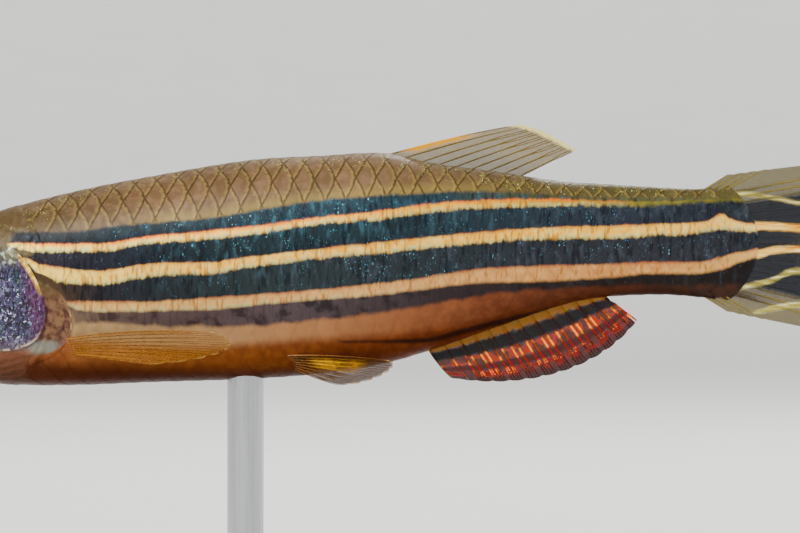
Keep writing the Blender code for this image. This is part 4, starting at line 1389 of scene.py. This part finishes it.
def flap_colour(nodes, across, down, colour, mottle):
    """The head's colour with the brown flap behind the gill cover, its spots, golden edge and shoulder."""
    brown = mix(smooth(0.38, 0.62, mottle), warm(134, 104, 80), warm(96, 66, 54))
    brown = mix(smooth(306, 280, down), brown, warm(100, 84, 56))
    radius = oval(across, down, FLAP_MIDDLE, FLAP_HALF_SIZE)
    behind_cover = smooth(22, 36, across) * window(252, 266, 338, 352, down)
    colour = mix(behind_cover, colour, brown)
    spots, _ = nodes.sparks((3600, 3600, 2200), 0.6, 0.5)
    spots = spots * window(0.72, 0.84, 0.92, 0.97, radius) * smooth(300, 312, down) * behind_cover
    colour = mix(spots * 0.8, colour, paint(50, 30, 28))
    golden = smooth(0.024, 0.008, abs(radius - 0.988)) * behind_cover * smooth(290, 308, down)
    colour = mix(golden * smooth(0.40, 0.62, mottle) * 0.8, colour, warm(206, 176, 128))
    shoulder = mix(smooth(296, 314, down), warm(84, 66, 48), warm(150, 126, 90))
    colour = mix(smooth(0.99, 1.05, radius) * behind_cover, colour, shoulder)
    pale = window(30, 38, 56, 66, across) * window(337, 343, 349, 356, down) * 0.6
    return mix(pale, colour, paint(140, 146, 134))


def stripes_begun(nodes, across, down):
    """0 on the head and 1 where the flank's stripes have begun, behind the gill cover and its flap."""
    start = curve(down, STRIPE_START, (200.0, 400.0), (-20.0, 100.0))
    past = across - start + nodes.spread((2500, 1500, 2500), 4.0)
    return smooth(-1.0, 1.0, past / (smooth(238, 222, down) * 30.0 + 2.2))


# Materials

def scale_edges(nodes, colour, back, striped):
    """The body's colour with each scale's pale rim, dark outline and own brightness."""
    margin = nodes.attribute("margin")
    colour = mix(smooth(0.30, 0.12, margin) * back * 0.30, colour, paint(176, 158, 108))
    line = smooth(0.17, 0.03, margin + nodes.spread(4200, 0.22))
    colour = mix(line * (striped * 0.12 + (back * 0.76 + 0.05)), colour, paint(58, 40, 26))
    value = (nodes.attribute("tone") - 0.5) * (back * 0.17 + 0.09) + 1.0
    return nodes.take("HueSaturation", {"Color": colour, "Value": value})


def body_glints(nodes, across, down, colour, dark, back, begun):
    """The body's colour with blue glints in its dark stripes and green ones along the back."""
    fine, one = nodes.sparks((19000, 14000, 10000), 0.34, 0.50)
    large, two = nodes.sparks((10000, 8000, 5500), 0.10, 0.40)
    patches = smooth(0.44, 0.62, nodes.noise((1300, 1000, 1500), 3.0)) * 0.70 + 0.04
    brisk = dark * patches * (window(60, 220, 560, 820, across) * 0.6 + 0.4)
    brisk = brisk * (smooth(300, 262, down) * 0.75 + 0.25)
    blue = ramp(one, paint, (0.0, 60, 96, 116), (0.5, 84, 134, 146), (1.0, 150, 186, 196))
    colour = mix(fine * brisk, colour, blue)
    bright_blue = ramp(two, paint, (0.0, 80, 130, 180), (0.5, 112, 170, 180), (1.0, 170, 208, 216))
    colour = mix(large * brisk, colour, bright_blue)
    near_crest = smooth(26, 4, down - curve(across, CREST))
    sparse = smooth(0.47, 0.60, nodes.noise(1700, 3.0))
    green = back * nodes.math("MAXIMUM", fine, large) * (near_crest * 0.90 + 0.10)
    green = green * (sparse * 0.85 + 0.15) * (begun * 0.8 + 0.2)
    green_colour = ramp(two, paint, (0.0, 150, 160, 70), (0.6, 190, 200, 120), (1.0, 236, 240, 220))
    return mix(green, colour, green_colour)


def body_material(name, scaly):
    nodes = Nodes(name)
    across, down = nodes.pixel_place()
    colour, dark, gold = flank_markings(nodes, across, down)
    striped = nodes.math("MAXIMUM", dark, gold)
    back = (1.0 - striped) * nodes.math("GREATER_THAN", curve(across, UPPER_DARK_TOP), down)
    if scaly:
        colour = scale_edges(nodes, colour, back, striped)
    begun = stripes_begun(nodes, across, down)
    colour = mix(begun, head_colour(nodes, across, down), colour)
    if not scaly:
        fleshy = mix(nodes.noise(5000), warm(112, 92, 70), warm(166, 146, 120))
        colour = mix(nodes.attribute("barbel") * 0.9, colour, fleshy)
    dark, gold = dark * begun, gold * begun
    colour = body_glints(nodes, across, down, colour, dark, back, begun)
    return nodes.finish(
        Base_Color=colour, Metallic=gold * 0.40 + (dark * 0.45 + 0.10),
        Roughness=nodes.noise(3000) * 0.16 + 0.40,
        Normal=nodes.bump(nodes.noise((14000, 5000, 5000), 3.0), 0.35, 0.00002),
        Coat_Weight=0.05, Coat_Roughness=0.26, Specular_IOR_Level=0.13,
    )


def gill_material():
    nodes = Nodes("gill_cover_silver")
    across, down = nodes.pixel_place()
    edge, up, back = (nodes.attribute(key) for key in ("edge", "up", "back"))
    colour, relief = silver_plates(nodes, across, down)
    behind = smooth(-6, 16, across)
    colour = mix(smooth(-0.50, -0.80, up) * behind * 0.35, colour, paint(120, 100, 104))
    mottle = nodes.noise(5200, 4.0)
    # Painted glints: pale green-white patches over the olive top of the gill cover.
    pale = mix(smooth(0.5, 0.62, mottle), warm(104, 100, 68), paint(206, 214, 190))
    colour = mix(smooth(0.62, 0.92, up) * behind, colour, pale)
    golden = smooth(0.10, 0.40, up) * smooth(0.84, 0.95, edge) * smooth(0.1, 0.4, back)
    colour = mix(golden, colour, mix(smooth(0.40, 0.60, mottle), paint(190, 150, 64), paint(244, 220, 140)))
    rim = smooth(0.93, 0.98, edge) * smooth(-0.35, -0.70, up) * behind * smooth(0.38, 0.56, mottle)
    colour = mix(rim * 0.7, colour, paint(214, 196, 176))
    return nodes.finish(
        Base_Color=colour, Metallic=0.15, Roughness=0.36, Normal=nodes.bump(relief, 0.6, 0.00003),
        Coat_Weight=0.10, Coat_Roughness=0.14, Specular_IOR_Level=0.30,
    )


def eye_material():
    nodes = Nodes("eye_gloss")
    reach, level, along, up = (nodes.attribute(key) for key in ("reach", "level", "turn_cos", "turn_sin"))
    fibres = nodes.noise(nodes.take("CombineXYZ", {0: along * 9.0, 1: up * 9.0, 2: reach * 3.0}), 4.0)
    uneven = nodes.noise(9000, 4.0) - 0.5
    rough_reach = reach + uneven * 0.03
    iris = ramp(rough_reach, paint, (0.44, 226, 170, 70), (0.50, 236, 200, 120), (0.60, 196, 186, 156),
                (0.78, 150, 150, 146), (0.90, 60, 60, 66), (1.0, 16, 16, 20))
    iris = mix(straight(0.425, 0.44, rough_reach), tone(1, 1, 2), iris)
    ring = smooth(0.44, 0.47, rough_reach)
    iris = mix(smooth(0.44, 0.60, fibres) * ring * 0.55, iris, paint(104, 96, 78))
    upper = smooth(0.12, 0.62, level + uneven * 0.3)
    iris = mix(upper * smooth(0.50, 0.58, rough_reach) * 0.92, iris, paint(26, 32, 44))
    iris = mix(smooth(-0.45, -0.85, level) * ring * 0.6, iris, paint(70, 60, 60))
    return nodes.finish(
        Base_Color=iris, Metallic=ring * 0.55, Roughness=0.30, Specular_IOR_Level=0.05, Coat_Weight=0.8,
        Coat_Roughness=0.02,
    )


def tail_streaks(nodes, colour, solid):
    """The tail fin's colour and opacity with the flank's stripes going on over its rays."""
    x, y = nodes.pixel_place()
    ragged = nodes.spread((2600, 2000, 6500), 2.4)
    fibres = nodes.noise((1100, 4000, 7000), 4.0)
    near = ramp(fibres, paint, (0.32, 126, 78, 34), (0.44, 214, 152, 66), (0.54, 240, 198, 112),
                (0.64, 255, 246, 204))
    at_root = mix(smooth(0.4, 0.6, fibres), paint(244, 202, 132), paint(250, 220, 156))
    near = mix(smooth(800, 768, x), near, at_root)
    far = ramp(fibres, paint, (0.34, 136, 128, 82), (0.48, 168, 158, 102), (0.60, 206, 200, 148),
               (0.70, 240, 238, 200))
    fade = smooth(1010, 800, x) * 0.94
    for points, streak_colour in zip(TAIL_STREAKS, (far, near, near, far, far)):
        mask = streak(x, y, points, 1.8, ragged) * fade
        colour = mix(mask, colour, streak_colour)
        solid = nodes.math("MAXIMUM", solid, mask)
    return colour, solid


def fin_material(name, membrane, ray, bands, clear, rim=None, rim_start=0.94, ray_solid=0.95, streaked=False):
    """Finish of a fin. A band: colours on rays and membrane, windows across and along, strength, patches."""
    nodes = Nodes(name)
    across, along, is_ray = (nodes.attribute(key) for key in ("across", "along", "ray"))
    streaks = nodes.noise(5000, 3.0)
    colour = mix(smooth(0.35, 0.7, streaks), membrane, tuple(0.7 * part for part in membrane[:3]) + (1.0,))
    colour = mix(is_ray, colour, ray)
    solid = is_ray * (ray_solid - clear) + clear
    wobble = (streaks - 0.5) * 0.09
    along, across = along + wobble, across + wobble * 0.6
    for number, (on_ray, on_membrane, wide, long, strength, patchy) in enumerate(bands):
        mask = window(*wide, across) * window(*long, along) * strength
        if patchy:
            patches = smooth(0.56, 0.44, nodes.noise((1300 + 170 * number, 1000, 1600), 3.0))
            mask = mask * (patches * patchy + (1 - patchy))
        colour = mix(mask, colour, mix(is_ray, on_membrane, on_ray))
        solid = nodes.math("MAXIMUM", solid, mask * 0.97)
    if streaked:
        colour, solid = tail_streaks(nodes, colour, solid)
    if rim:
        edge = smooth(rim_start, rim_start + 0.05, along)
        colour = mix(edge, colour, rim)
        solid = nodes.math("MAXIMUM", solid, edge * 0.8)
    return nodes.finish(
        Base_Color=colour, Alpha=solid, Roughness=0.38, Normal=nodes.bump(streaks, 0.2, 0.00002),
        Coat_Weight=0.08, Coat_Roughness=0.14, Specular_IOR_Level=0.20,
    )


def tail_finish(name, root):
    return fin_material(name, paint(112, 100, 58), paint(142, 128, 84), (
        (paint(140, 130, 86), paint(110, 102, 70), (-0.2, -0.1, 0.16, 0.38), ALL, 0.70, 0.0),
        (paint(46, 50, 56), paint(36, 40, 48), (0.38, 0.52, 1.10, 1.25), (-0.2, -0.1, 0.40, 1.05), 0.97, 0.0),
        (root, root, (-0.2, -0.1, 0.34, 0.50), (-0.2, -0.1, 0.10, 0.34), 0.85, 0.0),
    ), 0.66, paint(190, 176, 112), 0.95, 0.86, streaked=True)


def fin_finishes():
    maroon = paint(70, 22, 14)
    return {
        "dorsal": fin_material("dorsal_finish", paint(130, 112, 52), paint(120, 102, 50), (
            (paint(236, 194, 88), paint(214, 168, 66), (-0.2, -0.1, 0.07, 0.14), (0.08, 0.20, 0.50, 0.70),
             0.95, 0.0),
            (paint(96, 84, 44), paint(84, 74, 38), (0.1, 0.5, 1.5, 1.6), (-0.1, 0.0, 0.25, 0.6), 0.55, 0.0),
        ), 0.52, paint(232, 220, 166), 0.89, 0.80),
        "anal": fin_material("anal_finish", maroon, paint(110, 44, 22), (
            (paint(150, 112, 46), paint(160, 120, 48), ALL, (0.02, 0.06, 0.18, 0.23), 0.95, 0.0),
            (paint(20, 17, 20), paint(14, 12, 16), ALL, (0.20, 0.24, 0.38, 0.42), 0.95, 0.0),
            (paint(252, 172, 88), paint(150, 62, 30), ALL, (0.40, 0.45, 0.56, 0.62), 0.95, 0.92),
            (paint(120, 30, 16), maroon, ALL, (0.58, 0.62, 0.70, 0.74), 0.9, 0.0),
            (paint(250, 138, 66), paint(120, 34, 18), ALL, (0.70, 0.75, 0.84, 0.90), 0.95, 0.88),
            (paint(150, 140, 128), paint(44, 24, 20), ALL, (0.87, 0.92, 1.2, 1.3), 0.8, 0.8),
        ), 0.80),
        "caudal_upper": tail_finish("caudal_upper_finish", warm(100, 90, 56)),
        "caudal_lower": tail_finish("caudal_lower_finish", warm(62, 44, 32)),
        "pectoral": fin_material("pectoral_finish", warm(206, 148, 62), warm(120, 80, 30), (
            (warm(150, 104, 40), warm(190, 132, 46), (-0.2, -0.1, 0.05, 0.20), ALL, 0.55, 0.0),
        ), 0.20, warm(206, 176, 110), 0.95, 0.46),
        "pelvic": fin_material("pelvic_finish", warm(112, 74, 34), warm(150, 104, 46), (
            # The first band is the fin's own gold, broken into patches as painted yellow glints.
            (paint(252, 226, 120), paint(216, 166, 60), (0.1, 0.3, 0.45, 0.7), (0.15, 0.3, 0.6, 0.8),
             0.8, 0.5),
            (warm(130, 88, 40), warm(92, 58, 28), ALL, (0.6, 0.75, 1.2, 1.3), 0.3, 0.0),
        ), 0.34, paint(236, 206, 140), 0.95, 0.70),
    }


def base_material():
    nodes = Nodes("satin_base")
    haze = nodes.noise(220, 5.0)
    colour = mix(haze, tone(26, 27, 29), tone(38, 39, 42))
    normal = nodes.bump(nodes.noise(4200), 0.12, 0.00002)
    return nodes.finish(Base_Color=colour, Roughness=haze * 0.16 + 0.30, Normal=normal, Coat_Weight=0.2)


def rod_material():
    nodes = Nodes("brushed_rod")
    lines = nodes.noise((9000, 9000, 300), 3.0)
    colour = mix(lines, tone(168, 170, 174), tone(206, 208, 210))
    normal = nodes.bump(lines, 0.15, 0.00002)
    return nodes.finish(Base_Color=colour, Metallic=1.0, Roughness=lines * 0.16 + 0.22, Normal=normal)


def floor_material():
    nodes = Nodes("pale_floor")
    colour = mix(nodes.noise(60, 4.0), tone(236, 235, 232), tone(243, 242, 239))
    return nodes.finish(Base_Color=colour, Roughness=0.7)


def wear(made, material):
    made.data.materials.clear()
    made.data.materials.append(material)


def dress(made, material, slot, *nodes):
    """Gives a new piece its material and body, and hides the nodes that it stands for; slot is not used."""
    wear(made, material)
    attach(made, "root")
    if nodes:
        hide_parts(*nodes)


# Stage, light and camera

def stage():
    """Pale floor that rises far away all round into a backdrop."""
    flat, far, tall = 0.8, 1.6, 0.75
    rings = []
    sides = 96
    turn = np.linspace(0, 2 * math.pi, sides, endpoint=False)
    for radius in (0.001, 0.05, 0.2, 0.5, flat):
        rings.append((radius, 0.0))
    for k in range(1, 25):
        bend = math.radians(90 * k / 24)
        rings.append((flat + (far - flat) * math.sin(bend), tall * (1 - math.cos(bend))))
    points = [np.stack([r * np.cos(turn), r * np.sin(turn), z + 0 * turn], axis=-1) for r, z in rings]
    faces = grid_faces(len(rings), sides, closed=True, flip=True) + [list(range(sides))]
    floor = mesh_object("pale_floor", np.concatenate(points), faces)
    wear(floor, floor_material())


def lamp(name, place, target, size, power, colour=(1.0, 1.0, 1.0)):
    data = bpy.data.lights.new(name, "AREA")
    data.shape = "RECTANGLE"
    data.size, data.size_y = size
    data.energy = power
    data.color = colour
    made = placed(name, data)
    made.location = place
    made.rotation_euler = (Vector(target) - Vector(place)).to_track_quat("-Z", "Y").to_euler()


def lights():
    target = (0.003, 0.0, 0.02)
    lamp("key", (-0.16, -0.42, 0.40), target, (0.20, 0.20), 2.2, (1.0, 0.96, 0.90))
    lamp("rim", (0.12, 0.30, 0.34), target, (0.25, 0.12), 1.6)
    sun = bpy.data.lights.new("sun", "SUN")
    sun.energy = 2.2
    sun.angle = math.radians(14)
    placed("sun", sun).rotation_euler = (math.radians(52), 0.0, math.radians(-28))
    world = bpy.data.worlds.new("studio")
    world.use_nodes = True
    background = world.node_tree.nodes["Background"]
    background.inputs["Color"].default_value = (0.90, 0.92, 0.95, 1.0)
    background.inputs["Strength"].default_value = 0.62
    bpy.context.scene.world = world


def camera():
    """Level view along +Y that frames what the photograph frames."""
    data = bpy.data.cameras.new("camera")
    data.lens = 200.0
    data.sensor_width = 36.0
    data.clip_start = 0.005
    data.clip_end = 20.0
    distance = FRAME_PIXELS[0] * PIXEL * data.lens / data.sensor_width
    across, down = (share_of_pixel(FRAME_PIXELS[0] / 2), height_of_pixel(FRAME_PIXELS[1] / 2))
    made = placed("camera", data)
    made.location = (x_at(across), -distance, z_at(down))
    made.rotation_euler = (math.radians(90), 0.0, 0.0)
    bpy.context.scene.camera = made


def main():
    camera()
    lights()
    stage()
    dress(skin(), body_material("skin_finish", False), "skin", "head", "lower_jaw", "trunk", "tail_stem")

    scale_finish = body_material("scale_finish", True)
    names = {-1: "scales_left", 1: "scales_right", 0: "scales_middle"}
    for side, members in scale_members().items():
        dress(scales(names[side], members), scale_finish, "skin")

    silver, gloss = gill_material(), eye_material()
    finish = fin_finishes()

    def dress_fin(kind, word, shape, *sizes, **options):
        """Builds and dresses a fin; word is its side or lobe, with its underscore, or empty."""
        made = build_fin(kind + "_rays" + word, shape, *sizes, **options)
        own = finish[kind if kind in finish else kind + word]
        dress(made, own, "membrane", kind + "_fin" + word)

    for side, word in SIDE_NAMES.items():
        dress(gill_cover(side), silver, "gill_cover", "gill_cover_" + word)
        dress(eyeball(side), gloss, "eye", "eye_" + word)
        dress_fin("pectoral", "_" + word, pectoral_fin(side), 0.000035, (0.35, 1.0), 1, splits=1)
        dress_fin("pelvic", "_" + word, pelvic_fin(side), 0.00004, (0.40, 1.0), 1, splits=1)
    dorsal = median_fin(DORSAL_BASE, DORSAL_MARGIN, 0, 0.00010, 9)
    dress_fin("dorsal", "", dorsal, 0.00005, (0.55, 0.80), 2)
    anal = median_fin(ANAL_BASE, ANAL_MARGIN, 1, 0.00012, 13)
    dress_fin("anal", "", anal, 0.00007, (0.30, 0.46), 2, flat=2.3)
    dress_fin("caudal", "_upper", caudal_fin(1, *CAUDAL_UPPER), 0.00007, plain_rays=4)
    dress_fin("caudal", "_lower", caudal_fin(-1, *CAUDAL_LOWER), 0.00007, plain_rays=4)

    wear(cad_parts["stand_base"], base_material())
    wear(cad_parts["stand_rod"], rod_material())


main()
